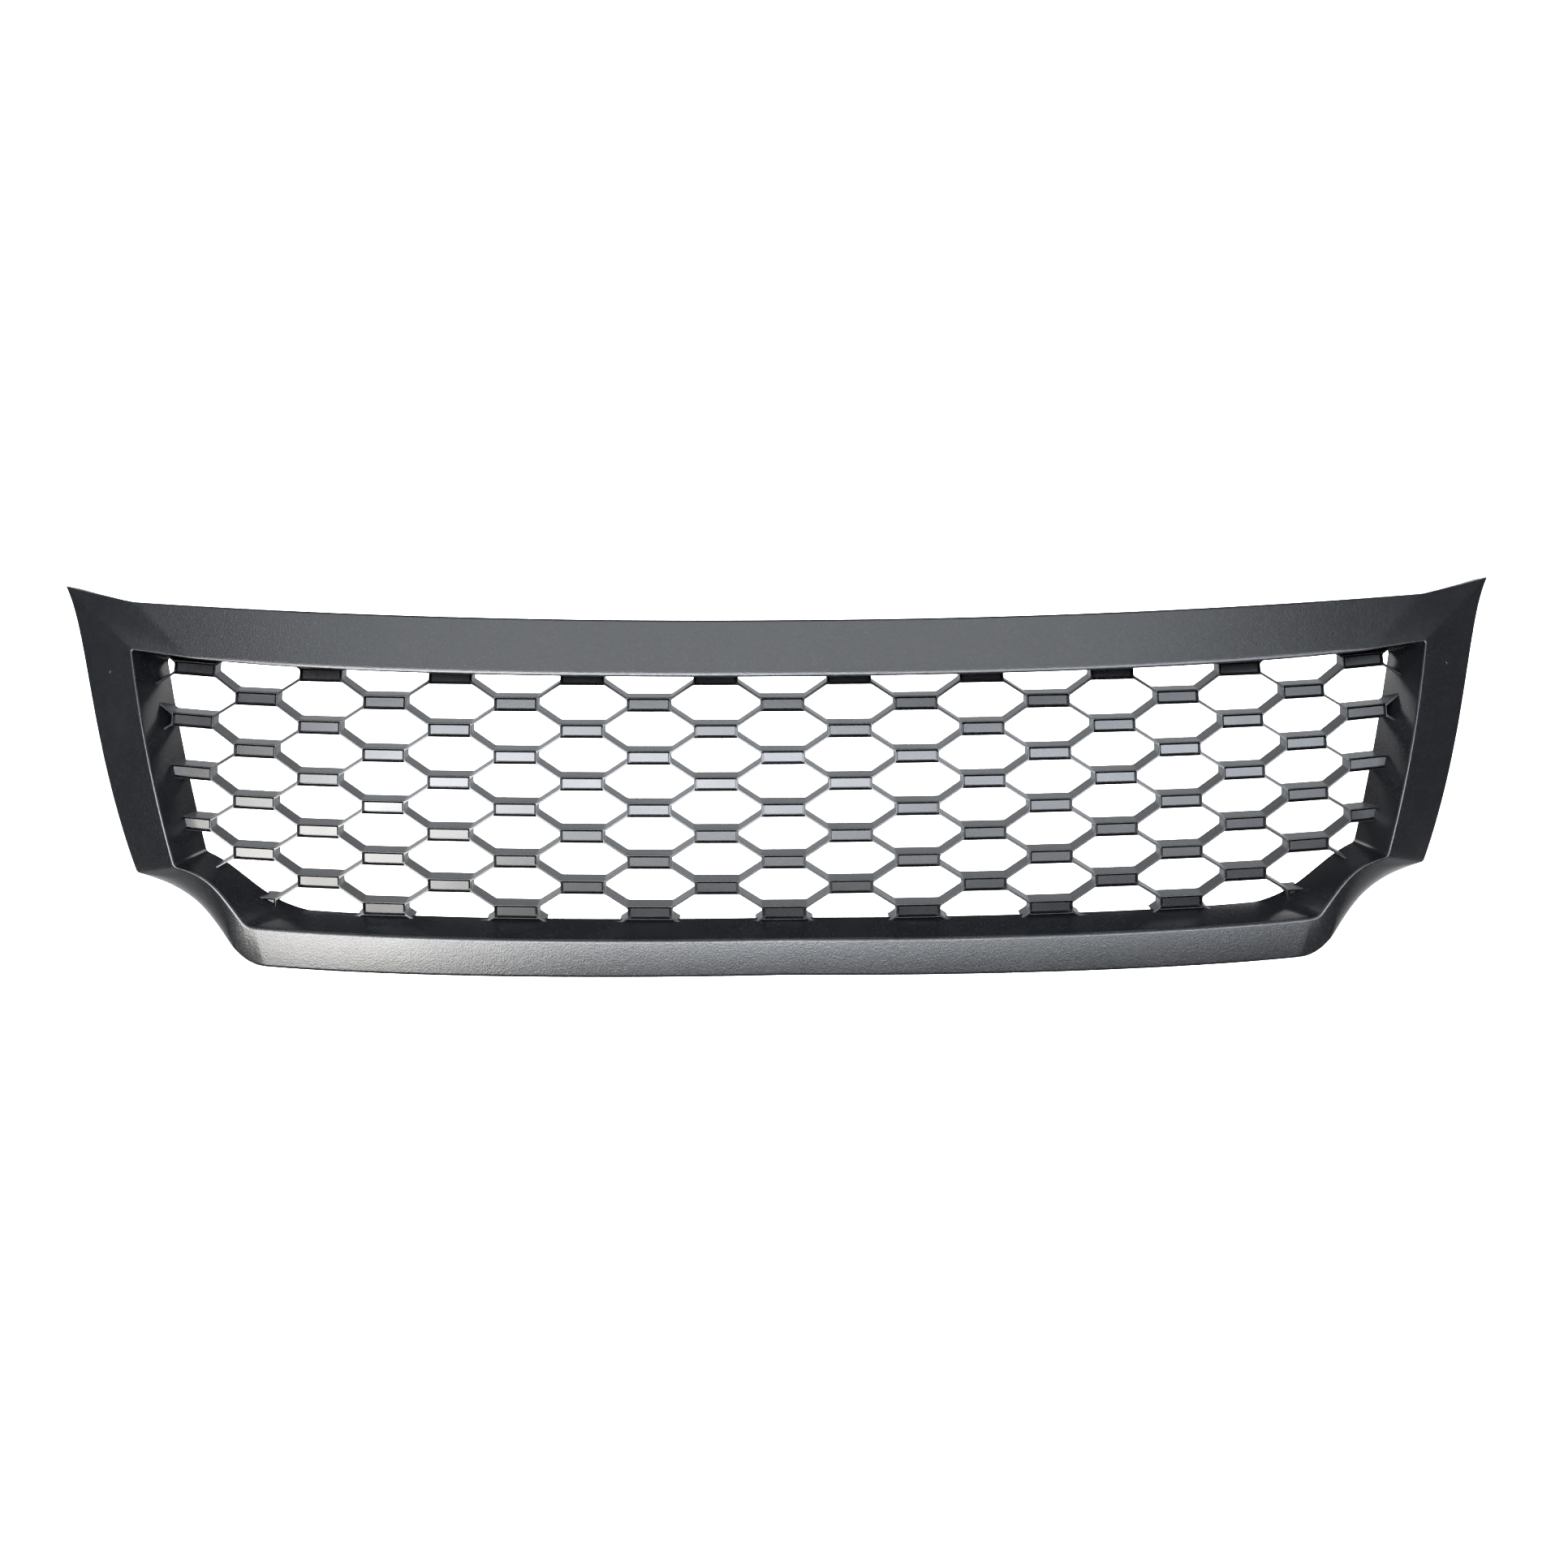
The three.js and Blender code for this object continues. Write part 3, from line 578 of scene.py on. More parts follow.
def make_lattice():
    flat = PITCH_X / 6
    half_height = (PITCH_Z - BAR_HEIGHT) / 2
    slope = math.atan2(half_height - BAR_HEIGHT / 2 + RIB, flat)
    side = BAR_HEIGHT / 2 - RIB / math.cos(slope)
    cells, pockets = [], []
    for column in range(-10, 11):
        x = column * PITCH_X / 2
        shift = PITCH_Z / 2 if column % 2 else 0
        for row in range(6):
            z = TOP_ROW_Z - row * PITCH_Z + shift
            corners = [
                (x - flat, z + half_height), (x + flat, z + half_height), (x + 2 * flat, z + side),
                (x + 2 * flat, z - side), (x + flat, z - half_height), (x - flat, z - half_height),
                (x - 2 * flat, z - side), (x - 2 * flat, z + side),
            ]
            cells.append(softened(corners, 1.1, 3))
            if row < 5:
                bar = z - PITCH_Z / 2
                pockets.append([rectangle(x, bar, flat - 0.9 - inset, BAR_HEIGHT / 2 - 0.75 - inset, radius)
                                for inset, radius in ((0, 0.7), (GROOVE, 0.35))])
    rim = np.array([(-600, -125), (600, -125), (600, 175), (-600, 175)], float)
    vertices, faces = [], []

    def put(outline, depth, flat=False):
        start = len(vertices)
        placed = risen(outline)
        x, z = placed[:, 0], placed[:, 1]
        level = reference(x, z)
        if flat:
            cx, cz = x.mean(), z.mean()
            level = reference(cx, cz) + 2 * BOW * cx * (x - cx) + (LEAN + 2 * CURL * cz) * (z - cz)
        vertices.extend(zip(x, level + depth, z))
        return start

    def skin(loops, starts, flip):
        flats, edges, owner = [], [], []
        for number, (loop, start) in enumerate(zip(loops, starts)):
            first = len(flats)
            flats += [Vector(p) for p in risen(loop)]
            owner += [(number, start + i) for i in range(len(loop))]
            edges += [(first + i, first + (i + 1) % len(loop)) for i in range(len(loop))]
        _, _, triangles, sources, _, _ = delaunay_2d_cdt(flats, edges, [], 0, 1e-6)
        for triangle in triangles:
            parts = [owner[sources[i][0]] for i in triangle]
            if len({number for number, _ in parts}) == 1 and parts[0][0] != 0:
                continue
            face = tuple(index for _, index in parts)
            faces.append(face[::-1] if flip else face)

    turns = [math.radians(angle) for angle in (0, 20, 42, 66, 90)]
    front, back = [put(rim, 0)], [put(rim, BLADE)]
    front_loops, back_loops = [rim], [rim]
    faces += band(len(rim), back[0], front[0])
    edge, chamfer = 0.45, 1.8
    for cell in cells:
        deep = np.where(cell[:, 1] > cell[:, 1].mean(), chamfer, edge)
        wides = [(shrunk(cell, -edge * (1 - math.sin(a))), 1 - math.cos(a)) for a in turns]
        rows = [put(outline, deep * share) for outline, share in wides]
        rows += [put(outline, BLADE - edge * share) for outline, share in reversed(wides)]
        for low, high in zip(rows, rows[1:]):
            faces += band(len(cell), high, low)
        front.append(rows[0])
        back.append(rows[-1])
        front_loops.append(wides[0][0])
        back_loops.append(wides[0][0])
    edge = 0.25
    for pocket, floor in pockets:
        wides = [(shrunk(pocket, -edge * (1 - math.sin(a))), edge * (1 - math.cos(a))) for a in turns]
        rows = [put(outline, depth) for outline, depth in wides]
        rows += [put(pocket, GROOVE_DEPTH), put(floor, GROOVE_DEPTH)]
        rows += [put(floor, POCKET + 0.15), put(shrunk(floor, 0.15), POCKET, True)]
        for near, far in zip(rows, rows[1:]):
            faces += band(len(pocket), far, near)
        faces.append(tuple(range(rows[-1], rows[-1] + len(pocket))))
        front.append(rows[0])
        front_loops.append(wides[0][0])
    skin(front_loops, front, False)
    skin(back_loops, back, True)
    return vertices, faces


def consistent(name, vertices, faces):
    """A closed mesh whose faces may be wound either way, all turned outwards."""
    mesh = bpy.data.meshes.new(name)
    mesh.from_pydata([tuple(v) for v in vertices], [], faces)
    work = bmesh.new()
    work.from_mesh(mesh)
    bmesh.ops.recalc_face_normals(work, faces=work.faces)
    work.to_mesh(mesh)
    work.free()
    piece = bpy.data.objects.new(name, mesh)
    bpy.context.scene.collection.objects.link(piece)
    return piece


def make_insert():
    lead, slack = FACE + GAP, 3.6
    lattice = consistent("lattice", *make_lattice())
    inside = [grown(OPENING, WALL / 2, lead), grown(WELL, WALL / 2)]
    near, far = inside[0].copy(), inside[1].copy()
    near[:, 1], far[:, 1] = -250, 350
    core = stack_solid("core", [near, inside[0], inside[1], far])
    lattice = combine(lattice, core, "INTERSECT")
    front, rear = grown(OPENING, 0, lead + 0.4), grown(WELL, 0, -0.4)
    well = ring_solid("well", [
        grown(OPENING, 0.2, lead), *(front + (rear - front) * k / 6 for k in range(7)), grown(WELL, 0.4, 0), grown(WELL, WALL - 0.4, 0), grown(WELL, WALL, -0.4),
        grown(OPENING, WALL, lead + slack + 0.3), grown(OPENING, WALL - 0.3, lead + slack),
    ])
    body = combine(well, lattice, "UNION")
    for x, z, ear, way in SCREWS:
        inwards, outwards, corner = POST_OUT - WALL / 2, POST_R + 3, 4.0
        half = EAR_WIDTH / 2
        plan = arc((half - corner, outwards - corner), corner, 0, 90, 6)
        plan += arc((-half + corner, outwards - corner), corner, 90, 180, 6)
        plan += [(-half, -inwards), (half, -inwards)]
        right = np.array([way[1], -way[0]])
        loops = []
        for y, inset in ((ear, 0.35), (ear + 0.35, 0), (ear + EAR - 0.35, 0), (ear + EAR, 0.35)):
            rows = []
            for a, b in shrunk(plan, inset):
                rows.append((x + right[0] * a + way[0] * b, y, z + right[1] * a + way[1] * b))
            loops.append(np.array(rows))
        body = combine(body, stack_solid("ear", loops), "UNION")
    holes = [upright_rod("hole", x, z, ear - 5, ear + EAR + 5, EAR_HOLE_R) for x, z, ear, _ in SCREWS]
    body = combine(body, merged("holes", holes), "DIFFERENCE")
    body.name = "mesh_insert_shell"
    return settled(shaded(body, 32), "grille", "mesh_plastic", "mesh_insert")


# ---- Fixings

def make_screws():
    """Washer-head screws with a cross recess and a real thread; all share one mesh."""
    head = EAR + 2 * GAP
    bite = head - SCREW_LENGTH
    sides, pitch, core = 28, 1.5, 1.3
    levels = np.arange(bite, head - 0.3, 0.17)
    rows = [[(0, 0, bite - 0.0)]]
    for level in levels:
        taper = smoothstep((level - bite) / 3.2)
        ring = []
        for i in range(sides):
            turn = i / sides
            wave = abs(((level / pitch - turn) % 1) - 0.5) * 2
            radius = (core + (SCREW_R - core) * smoothstep((wave - 0.35) / 0.5)) * (0.12 + 0.88 * taper)
            ring.append((radius * math.cos(math.tau * turn), radius * math.sin(math.tau * turn), level + 0.02))
        rows.append(ring)
    for radius, level in ((core, head - 0.2), (SCREW_R, head), (HEAD_R - 0.2, head), (HEAD_R, head + 0.2),
                          (HEAD_R, head + 0.7), (HEAD_R - 0.25, head + 0.95), (4.1, head + 1.05), (3.9, head + 1.3)):
        rows.append([(radius * math.cos(math.tau * i / sides), radius * math.sin(math.tau * i / sides), level)
                     for i in range(sides)])
    for share, level in ((1.0, HEAD - 1.0), (0.93, HEAD - 0.45), (0.8, HEAD - 0.12), (0.62, HEAD)):
        rows.append([(3.64 * share * math.cos(math.tau * i / sides), 3.64 * share * math.sin(math.tau * i / sides),
                      head + level) for i in range(sides)])
    vertices = [p for row in rows for p in row]
    faces = [(0, 1 + (i + 1) % sides, 1 + i) for i in range(sides)]
    for k in range(1, len(rows) - 1):
        faces += [f[::-1] for f in band(sides, 1 + (k - 1) * sides, 1 + k * sides)]
    last = 1 + (len(rows) - 2) * sides
    faces.append(tuple(range(last, last + sides)))
    body = consistent("insert_screw", vertices, faces)
    cross = []
    for turn in (0, 90):
        wide, long = 0.45, 2.1
        loops = [np.array([(-long * s, -wide * s, z), (long * s, -wide * s, z), (long * s, wide * s, z),
                           (-long * s, wide * s, z)]) for z, s in ((head + HEAD - 1.5, 0.55), (head + HEAD + 1, 1.15))]
        bar = stack_solid("bar", loops)
        bar.data.transform(Matrix.Rotation(math.radians(turn), 4, "Z"))
        cross.append(bar)
    body = combine(body, combine(cross[0], cross[1], "UNION"), "DIFFERENCE")
    shaded(body, 35)
    screws = []
    for index, (x, z, ear, _) in enumerate(SCREWS):
        piece = body if index == 0 else bpy.data.objects.new("insert_screw", body.data)
        if index:
            bpy.context.scene.collection.objects.link(piece)
        piece.name = f"insert_screw_{index + 1:02d}_detail"
        screws.append((piece, x, z, ear, index))
    for piece, x, z, ear, index in screws:
        place = Matrix.Translation(SHIFT + Vector((x, ear - GAP, z)))
        place = place @ Matrix.Rotation(math.radians(-90), 4, "X") @ Matrix.Rotation(0.7 * index, 4, "Z")
        settled(piece, "grille", "screw_steel", f"insert_screw_{index + 1:02d}", place=place)
    return [s[0] for s in screws]


def make_rivets():
    """Push rivets: a sleeve with four legs and a pin that slides in it."""
    top, inner = TAB + GAP, PIN_R + GAP
    sleeve = lathe("sleeve", [
        (inner, -SLEEVE_DROP + 0.2), (inner + 0.2, -SLEEVE_DROP), (SLEEVE_R - 1.2, -SLEEVE_DROP),
        (SLEEVE_R - 1, -SLEEVE_DROP + 0.3), (SLEEVE_R - 0.1, -SLEEVE_DROP + 4), (SLEEVE_R, -SLEEVE_DROP + 5),
        (SLEEVE_R - 0.1, -1.5), (SLEEVE_R, -0.5), (SLEEVE_R, top), (FLANGE_R - 0.3, top), (FLANGE_R, top + 0.3),
        (FLANGE_R, top + 0.9), (FLANGE_R - 0.5, top + 1.5), (FLANGE_R - 1.6, top + FLANGE), (inner + 2.3, top + FLANGE),
        (inner + 1.9, top + FLANGE - 0.25), (inner + 0.3, top + FLANGE - 0.25), (inner, top + FLANGE - 0.55),
    ], 64)
    slots = []
    for turn in (0, 90):
        outline = [(-6, -SLEEVE_DROP - 1), (6, -SLEEVE_DROP - 1), (6, -1.8), (-6, -1.8)]
        loops = [np.array([(px, y, pz) for px, pz in outline]) for y in (-0.6, 0.6)]
        bar = stack_solid("slot", loops)
        bar.data.transform(Matrix.Rotation(math.radians(turn), 4, "Z"))
        slots.append(bar)
    sleeve = combine(sleeve, combine(slots[0], slots[1], "UNION"), "DIFFERENCE")
    shaded(sleeve, 35)
    seat = TAB + GAP + FLANGE + GAP
    profile = [(0, -SLEEVE_DROP + 2), (PIN_R * 0.35, -SLEEVE_DROP + 2.1), (PIN_R * 0.5, -SLEEVE_DROP + 2.5),
               (PIN_R - 0.1, -SLEEVE_DROP + 5), (PIN_R, -SLEEVE_DROP + 5.6), (PIN_R, seat),
               (PIN_HEAD_R - 0.2, seat), (PIN_HEAD_R, seat + 0.2), (PIN_HEAD_R, seat + 0.6)]
    profile += [(PIN_HEAD_R * math.cos(math.radians(a)), seat + 0.6 + (PIN_HEAD - 0.6) * math.sin(math.radians(a)))
                for a in (20, 40, 60, 75)]
    profile.append((0, seat + PIN_HEAD))
    pin = lathe("pin", profile, 64)
    notches = []
    for turn in (0, 180):
        outline = [(2.6, seat + 0.7), (6, seat + 0.7), (6, seat + 3), (2.6, seat + 3)]
        bar = stack_solid("notch", [np.array([(px, y, pz) for px, pz in outline]) for y in (-1.1, 1.1)])
        bar.data.transform(Matrix.Rotation(math.radians(turn), 4, "Z"))
        notches.append(bar)
    pin = combine(pin, merged("notches", notches), "DIFFERENCE")
    shaded(pin, 35)
    made = []
    for index in range(4):
        low, high = box_of(f"rivet_pin_{index + 1:02d}")
        centre = Vector(((low.x + high.x) / 2, (low.y + high.y) / 2, TAB_SEAT_Z))
        for kind, mesh, body in (("sleeve", sleeve, "grille"), ("pin", pin, f"pin_{index + 1:02d}")):
            piece = mesh if index == 0 else bpy.data.objects.new(kind, mesh.data)
            if index:
                bpy.context.scene.collection.objects.link(piece)
            piece.name = f"rivet_{kind}_{index + 1:02d}_detail"
            made.append((piece, body, centre, f"rivet_{kind}_{index + 1:02d}"))
    for piece, body, centre, node in made:
        settled(piece, body, "nylon", node, place=Matrix.Translation(SHIFT + centre))
    return [m[0] for m in made]


def folded_strip(name, path, thick, half_width, corner):
    """A bent sheet: its middle line in Y and Z, its thickness, and a width along X that rounds off at both ends."""
    path = np.array(path, float)
    tangent = np.gradient(path, axis=0)
    tangent /= np.linalg.norm(tangent, axis=1)[:, None]
    normal = np.column_stack([-tangent[:, 1], tangent[:, 0]])
    along = np.concatenate([[0], np.cumsum(np.linalg.norm(np.diff(path, axis=0), axis=1))])
    rest = np.minimum(along, along[-1] - along)
    inset = corner - np.sqrt(np.clip(corner**2 - np.clip(corner - rest, 0, corner) ** 2, 0, None))
    loops = []
    soft = thick * 0.22
    section = [(-1, -1, 1, 0), (-1, -1, 0, 1), (-1, 1, 0, 1), (-1, 1, 1, 0), (1, 1, 1, 0), (1, 1, 0, 1), (1, -1, 0, 1), (1, -1, 1, 0)]
    for (y, z), (ny, nz), cut in zip(path, normal, inset):
        rows = []
        for side, face, in_x, in_n in section:
            x = side * (half_width - cut - soft * in_x)
            n = face * (thick / 2 - soft * in_n)
            rows.append((x, y + ny * n, z + nz * n))
        loops.append(np.array(rows))
    return stack_solid(name, loops)


def make_clips():
    clear = TONGUE / 2 + GAP
    mid = clear + CLIP_STEEL / 2
    hump = CLIP_BARB
    upper = []
    for i in range(33):
        share = i / 32
        y = -CLIP_LENGTH * (1 - share)
        rise = hump * (smoothstep((y + CLIP_LENGTH * 0.55) / (CLIP_LENGTH * 0.25))
                       - smoothstep((y + CLIP_LENGTH * 0.3) / (CLIP_LENGTH * 0.28)))
        if y < -1.2:
            upper.append((y, mid + rise))
    bend_r = mid
    nose = [(GAP + CLIP_STEEL / 2 - bend_r * 0.55 + bend_r * 0.55 * math.cos(a), bend_r * math.sin(a))
            for a in np.radians(np.linspace(90, -90, 17))]
    lower = [(y, -z) for y, z in reversed(upper)]
    body = folded_strip("clip", upper + nose + lower, CLIP_STEEL, CLIP_WIDTH / 2, 2.2)
    window = []
    for side in (-1, 1):
        x0, x1 = side * 3.2 - 0.45, side * 3.2 + 0.45
        outline = rounded_rectangle(x0, x1, -CLIP_LENGTH * 0.75, -CLIP_LENGTH * 0.18, 0.4, 3)
        window.append(stack_solid("slit", [lying_on(outline, -8), lying_on(outline, 8)]))
    body = combine(body, merged("slits", window), "DIFFERENCE")
    shaded(body, 35)
    made = []
    for index in range(6):
        node = f"lower_clip_{index + 1:02d}"
        low, high = box_of(node)
        piece = body if index == 0 else bpy.data.objects.new("clip", body.data)
        if index:
            bpy.context.scene.collection.objects.link(piece)
        piece.name = node + "_detail"
        end = high.y - GAP - CLIP_STEEL
        made.append((piece, node, Vector(((low.x + high.x) / 2, end, TONGUE_Z + TONGUE / 2))))
    for piece, node, spot in made:
        settled(piece, "grille", "spring_steel", node, place=Matrix.Translation(SHIFT + spot))
    return [m[0] for m in made]


def make_nuts():
    mid = BRACKET / 2 + GAP + NUT_STEEL / 2
    leg = [(y, mid) for y in np.linspace(-NUT_LENGTH, -1.6, 14)]
    nose = [(GAP + NUT_STEEL / 2 - mid * 0.55 + mid * 0.55 * math.cos(a), mid * math.sin(a))
            for a in np.radians(np.linspace(90, -90, 17))]
    body = folded_strip("nut", leg + nose + [(y, -z) for y, z in reversed(leg)], NUT_STEEL, NUT_HEIGHT / 2, 3.0)
    hole = lathe("hole", [(0, -9), (NUT_HOLE_R, -9), (NUT_HOLE_R, 9), (0, 9)], 40)
    hole.data.transform(Matrix.Translation((0, -NUT_LENGTH / 2, 0)))
    slits = [hole]
    for side in (-1, 1):
        outline = rounded_rectangle(side * 4.2 - 0.4, side * 4.2 + 0.4, -NUT_LENGTH * 0.78, -NUT_LENGTH * 0.22, 0.35, 3)
        slits.append(stack_solid("slit", [lying_on(outline, -9), lying_on(outline, 9)]))
    body = combine(body, merged("slits", slits), "DIFFERENCE")
    body.data.transform(Matrix.Rotation(math.radians(90), 4, "Y"))
    shaded(body, 35)
    made = []
    for index, hand in enumerate(("left", "right")):
        node = f"side_nut_{hand}"
        low, high = box_of(node)
        piece = body if index == 0 else bpy.data.objects.new("nut", body.data)
        if index:
            bpy.context.scene.collection.objects.link(piece)
        piece.name = node + "_detail"
        made.append((piece, node, Vector(((low.x + high.x) / 2, high.y - GAP - NUT_STEEL, (low.z + high.z) / 2))))
    for piece, node, spot in made:
        settled(piece, "grille", "spring_steel", node, place=Matrix.Translation(SHIFT + spot))
    return [m[0] for m in made]


def make_pads():
    made = []
    for side, hand in ((-1, "left"), (1, "right")):
        node = f"wing_pad_{hand}"
        low, high = box_of(node)
        outline = rounded_rectangle(low.x + 0.3, high.x - 0.3, low.z + 0.3, high.z - 0.3, 2.2, 4)
        outline = [(px, pz) for px, pz in outline]
        back = high.y
        loops = []
        for inset, depth in ((1.2, 0.0), (0.35, 0.35), (0, 1.2)):
            loops.append(np.array([(px, min(face_at(px, pz) + FACE + 0.9, back - 3) + depth, pz)
                                   for px, pz in shrunk(outline, inset)]))
        for k in range(1, 6):
            share = k / 6
            rows = []
            for i, (px, pz) in enumerate(shrunk(outline, 0.25 * math.sin(math.pi * share))):
                start = min(face_at(px, pz) + FACE + 0.9, back - 3) + 1.2
                rows.append((px, start + (back - 1.2 - start) * share, pz))
            loops.append(np.array(rows))
        for inset, depth in ((0, 1.2), (0.35, 0.35), (1.2, 0.0)):
            loops.append(np.array([(px, back - depth, pz) for px, pz in shrunk(outline, inset)]))
        piece = shaded(stack_solid(node + "_detail", loops), 40)
        made.append(settled(piece, "grille", "foam", node))
    return made


# ---- Materials

def nodes_of(material):
    material.use_nodes = True
    tree = material.node_tree
    tree.nodes.clear()
    return tree


def noise(tree, coords, scale, detail=3.0, rough=0.5):
    node = tree.nodes.new("ShaderNodeTexNoise")
    node.inputs["Scale"].default_value = scale
    node.inputs["Detail"].default_value = detail
    node.inputs["Roughness"].default_value = rough
    tree.links.new(coords, node.inputs["Vector"])
    return node.outputs["Fac"]


def ramp(tree, value, low, high, out_low, out_high):
    node = tree.nodes.new("ShaderNodeMapRange")
    node.inputs["From Min"].default_value = low
    node.inputs["From Max"].default_value = high
    node.inputs["To Min"].default_value = out_low
    node.inputs["To Max"].default_value = out_high
    tree.links.new(value, node.inputs["Value"])
    return node.outputs["Result"]


def blend_colours(tree, factor, a, b, mode="MIX"):
    node = tree.nodes.new("ShaderNodeMix")
    node.data_type = "RGBA"
    node.blend_type = mode
    for value, name in ((a, "A"), (b, "B")):
        socket = next(s for s in node.inputs if s.name == name and s.type == "RGBA")
        if isinstance(value, tuple):
            socket.default_value = (*value, 1)
        else:
            tree.links.new(value, socket)
    target = node.inputs["Factor"]
    if isinstance(factor, float):
        target.default_value = factor
    else:
        tree.links.new(factor, target)
    return next(s for s in node.outputs if s.type == "RGBA")


def finish_material(name, dark, light, rough_low, rough_high, grain, grain_depth, wear, wear_colour,
                    metallic=0.0, specular=0.5, brushed=False, speckle=0.0):
    material = bpy.data.materials.new(name)
    tree = nodes_of(material)
    shader = tree.nodes.new("ShaderNodeBsdfPrincipled")
    output = tree.nodes.new("ShaderNodeOutputMaterial")
    tree.links.new(shader.outputs["BSDF"], output.inputs["Surface"])
    coords = tree.nodes.new("ShaderNodeTexCoord").outputs["Object"]
    if brushed:
        stretch = tree.nodes.new("ShaderNodeMapping")
        stretch.inputs["Scale"].default_value = (1, 14, 1)
        tree.links.new(coords, stretch.inputs["Vector"])
        fine_coords = stretch.outputs["Vector"]
    else:
        fine_coords = coords
    broad = noise(tree, coords, 6.0, 4.0, 0.55)
    fine = noise(tree, fine_coords, grain, 2.0, 0.6)
    coarse = noise(tree, coords, grain * 0.3, 2.0, 0.5)
    colour = blend_colours(tree, ramp(tree, broad, 0.3, 0.7, 0.0, 1.0), dark, light)
    if speckle:
        spots = ramp(tree, fine, 0.56, 0.72, 0.0, speckle)
        colour = blend_colours(tree, spots, colour, tuple(min(1.0, c * 2.6 + 0.01) for c in light))
    worn = ramp(tree, noise(tree, coords, 38.0, 6.0, 0.65), 0.6, 0.78, 0.0, wear)
    colour = blend_colours(tree, worn, colour, wear_colour)
    tree.links.new(colour, shader.inputs["Base Color"])
    rough = ramp(tree, noise(tree, coords, 14.0, 5.0, 0.6), 0.3, 0.7, rough_low, rough_high)
    tree.links.new(rough, shader.inputs["Roughness"])
    shader.inputs["Metallic"].default_value = metallic
    shader.inputs["Specular IOR Level"].default_value = specular
    height = tree.nodes.new("ShaderNodeMath")
    height.operation = "MULTIPLY_ADD"
    tree.links.new(coarse, height.inputs[0])
    height.inputs[1].default_value = 0.3
    tree.links.new(fine, height.inputs[2])
    bump = tree.nodes.new("ShaderNodeBump")
    bump.inputs["Strength"].default_value = 1.0
    bump.inputs["Distance"].default_value = grain_depth
    tree.links.new(height.outputs[0], bump.inputs["Height"])
    tree.links.new(bump.outputs["Normal"], shader.inputs["Normal"])
    return material


def make_materials():
    return {
        "surround": finish_material("surround_plastic", (0.0018, 0.0020, 0.0025), (0.0027, 0.0029, 0.0035), 0.27, 0.33,
                                    760.0, 0.00018, 0.25, (0.008, 0.0085, 0.009), specular=0.42, speckle=0.4),
        "mesh": finish_material("mesh_plastic", (0.0016, 0.0018, 0.0023), (0.0025, 0.0027, 0.0033), 0.24, 0.31,
                                900.0, 0.000012, 0.2, (0.008, 0.0085, 0.0095), specular=0.4),
        "screw": finish_material("screw_zinc", (0.55, 0.53, 0.47), (0.66, 0.64, 0.58), 0.25, 0.42,
                                 700.0, 0.00001, 0.5, (0.35, 0.33, 0.29), metallic=1.0),
        "spring": finish_material("spring_steel", (0.30, 0.31, 0.33), (0.42, 0.43, 0.45), 0.25, 0.45,
                                  500.0, 0.00001, 0.5, (0.2, 0.19, 0.18), metallic=1.0, brushed=True),
        "nylon": finish_material("black_nylon", (0.010, 0.010, 0.011), (0.016, 0.016, 0.017), 0.42, 0.58,
                                 900.0, 0.00003, 0.3, (0.05, 0.05, 0.05)),
        "foam": finish_material("foam", (0.012, 0.012, 0.013), (0.022, 0.022, 0.023), 0.88, 0.98,
                                420.0, 0.0004, 0.3, (0.05, 0.05, 0.05), specular=0.2),
    }


def wear_finish(piece, material):
    piece.data.materials.clear()
    piece.data.materials.append(material)


# ---- Setting

def studio_material(name, colour, strength=0.0):
    material = bpy.data.materials.new(name)
    tree = nodes_of(material)
    output = tree.nodes.new("ShaderNodeOutputMaterial")
    shader = tree.nodes.new("ShaderNodeBsdfPrincipled")
    shader.inputs["Base Color"].default_value = (*colour, 1)
    shader.inputs["Roughness"].default_value = 0.9
    shader.inputs["Emission Color"].default_value = (*colour, 1)
    shader.inputs["Emission Strength"].default_value = strength
    tree.links.new(shader.outputs["BSDF"], output.inputs["Surface"])
    material.cycles.emission_sampling = "NONE"
    return material


def panel(name, centre, width, height, material, normal):
    half_w, half_h = width / 2, height / 2
    mesh = bpy.data.meshes.new(name)
    mesh.from_pydata([(-half_w, -half_h, 0), (half_w, -half_h, 0), (half_w, half_h, 0), (-half_w, half_h, 0)],
                     [], [(0, 1, 2, 3)])
    plane = bpy.data.objects.new(name, mesh)
    bpy.context.scene.collection.objects.link(plane)
    plane.rotation_mode = "QUATERNION"
    plane.rotation_quaternion = Vector(normal).to_track_quat("Z", "Y")
    plane.location = centre
    mesh.materials.append(material)
    return plane


def area_light(name, place, target, width, height, radiance, colour):
    data = bpy.data.lights.new(name, "AREA")
    data.shape = "RECTANGLE"
    data.size, data.size_y = width, height
    data.energy = radiance * math.pi * width * height
    data.color = colour
    light = bpy.data.objects.new(name, data)
    bpy.context.scene.collection.objects.link(light)
    light.location = place
    light.rotation_mode = "QUATERNION"
    light.rotation_quaternion = (Vector(target) - Vector(place)).to_track_quat("-Z", "Y")
    return light


ROOM, FLOOR_Z = 9.0, -0.75


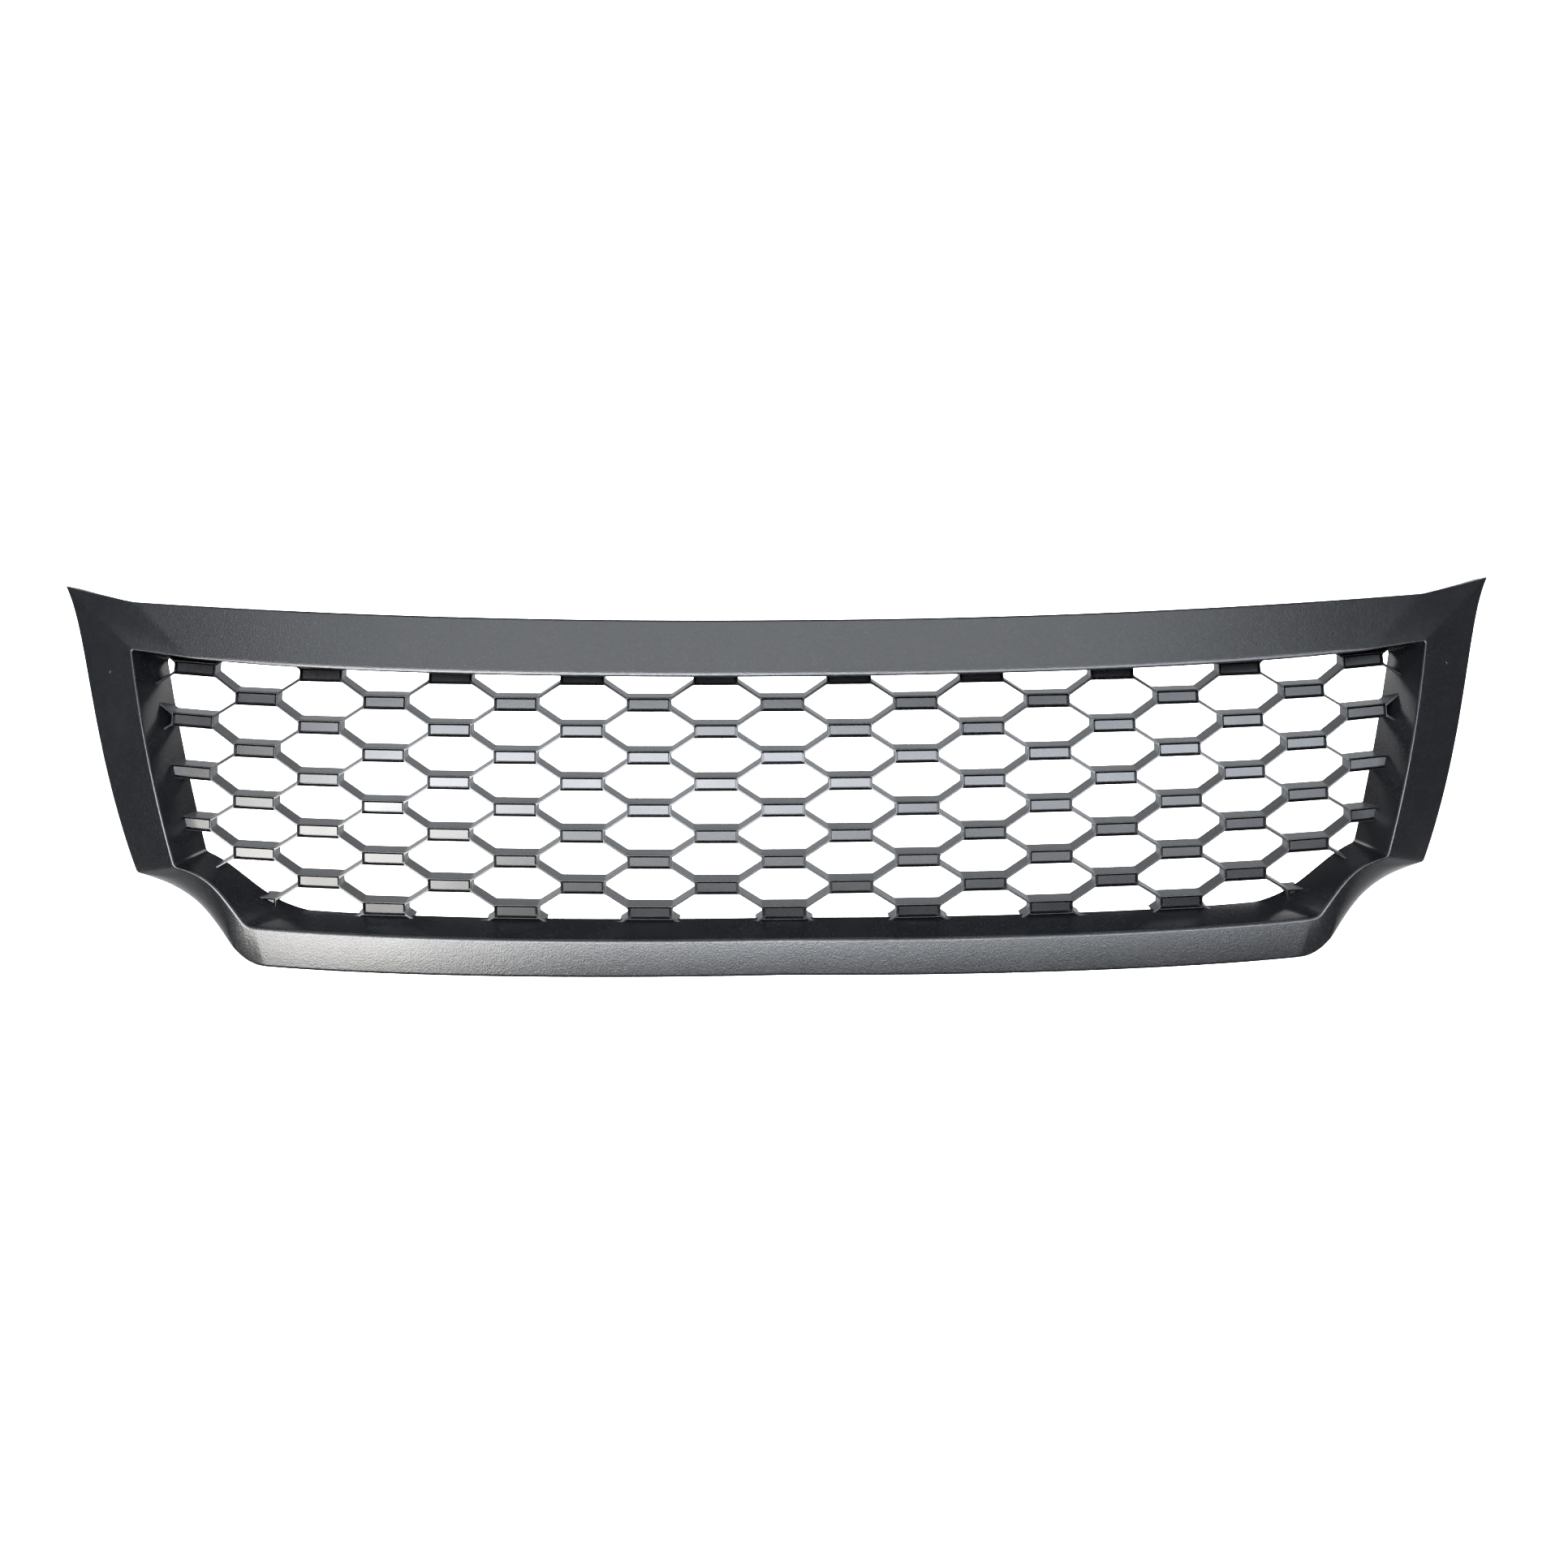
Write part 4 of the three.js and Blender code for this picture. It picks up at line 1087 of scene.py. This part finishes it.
def make_setting():
    scene = bpy.context.scene
    scene.view_settings.view_transform = "Standard"
    world = bpy.data.worlds.new("studio")
    scene.world = world
    world.use_nodes = True
    background = world.node_tree.nodes["Background"]
    background.inputs["Color"].default_value = (0.92, 0.96, 1.0, 1)
    tree = world.node_tree
    split = tree.nodes.new("ShaderNodeSeparateXYZ")
    tree.links.new(tree.nodes.new("ShaderNodeTexCoord").outputs["Generated"], split.inputs[0])
    tilt = tree.nodes.new("ShaderNodeMath")
    tilt.operation = "MULTIPLY_ADD"
    tree.links.new(split.outputs["Z"], tilt.inputs[0])
    tilt.inputs[1].default_value = -0.5
    tree.links.new(split.outputs["Y"], tilt.inputs[2])
    tree.links.new(ramp(tree, tilt.outputs[0], 0.6, 0.88, 0.04, 0.9), background.inputs["Strength"])
    white = studio_material("backdrop_white", (0.95, 0.95, 0.95), 1.05)
    for name, centre, normal in (
        ("floor", (0, 0, FLOOR_Z), (0, 0, 1)), ("ceiling", (0, 0, FLOOR_Z + ROOM), (0, 0, -1)),
        ("backdrop", (0, ROOM / 2, 0), (0, -1, 0)), ("front_wall", (0, -ROOM / 2, 0), (0, 1, 0)),
        ("left_wall", (-ROOM / 2, 0, 0), (1, 0, 0)), ("right_wall", (ROOM / 2, 0, 0), (-1, 0, 0)),
    ):
        panel(name, centre, ROOM, ROOM, white, normal).visible_glossy = False
    area_light("window_left", (-1.35, -1.85, 0.10), (-0.3, 0, -0.15), 0.9, 0.9, 31.0, (1.0, 0.98, 0.94))
    area_light("window_front", (-0.45, -1.95, 0.76), (0, 0, -0.1), 1.9, 0.8, 30.0, (0.90, 0.94, 1.0))
    area_light("front_low", (0.3, -2.1, 0.07), (0, 0, -0.2), 2.8, 0.2, 12.2, (0.94, 0.97, 1.0))
    area_light("window_right", (1.15, -1.75, 0.74), (0.2, 0, -0.1), 1.2, 0.65, 22.0, (0.86, 0.92, 1.0))
    area_light("overhead", (-0.05, -0.9, 1.9), (0, 0, -0.1), 3.0, 1.4, 4.2, (0.92, 0.96, 1.0))
    for side, hand in ((-1, "left"), (1, "right")):
        bounce = area_light(f"bounce_{hand}", (side * 1.3, 0.5, -0.73), (side * 1.2, 0.4, 0), 1.4, 1.3, 0.8,
                            (1.0, 1.0, 1.0))
        bounce.visible_camera = False
        area_light(f"back_{hand}", (side * 1.7, 1.9, 1.3), (side * 0.2, 0, -0.1), 1.2, 1.0, 6.0, (1.0, 1.0, 1.0))

    camera = bpy.data.cameras.new("camera")
    camera.lens, camera.sensor_width = 47.11, 36.0
    eye = bpy.data.objects.new("camera", camera)
    scene.collection.objects.link(eye)
    yaw, pitch, roll = 0.01471, 0.21341, -0.00471
    ahead = Vector((math.sin(yaw) * math.cos(pitch), math.cos(yaw) * math.cos(pitch), -math.sin(pitch)))
    right = Vector((math.cos(yaw), -math.sin(yaw), 0))
    up = right.cross(ahead)
    turned_right = right * math.cos(roll) + up * math.sin(roll)
    turned_up = up * math.cos(roll) - right * math.sin(roll)
    rotation = Matrix((turned_right, turned_up, -ahead)).transposed()
    place = (Vector((-23.1, -1600, 376.7)) + SHIFT) / 1000
    eye.matrix_world = Matrix.Translation(place) @ rotation.to_4x4()
    scene.camera = eye


def build():
    finishes = make_materials()
    wear_finish(make_surround(), finishes["surround"])
    wear_finish(make_insert(), finishes["mesh"])
    for piece in make_screws():
        wear_finish(piece, finishes["screw"])
    for piece in make_rivets():
        wear_finish(piece, finishes["nylon"])
    for piece in make_clips() + make_nuts():
        wear_finish(piece, finishes["spring"])
    for piece in make_pads():
        wear_finish(piece, finishes["foam"])
    make_setting()


build()
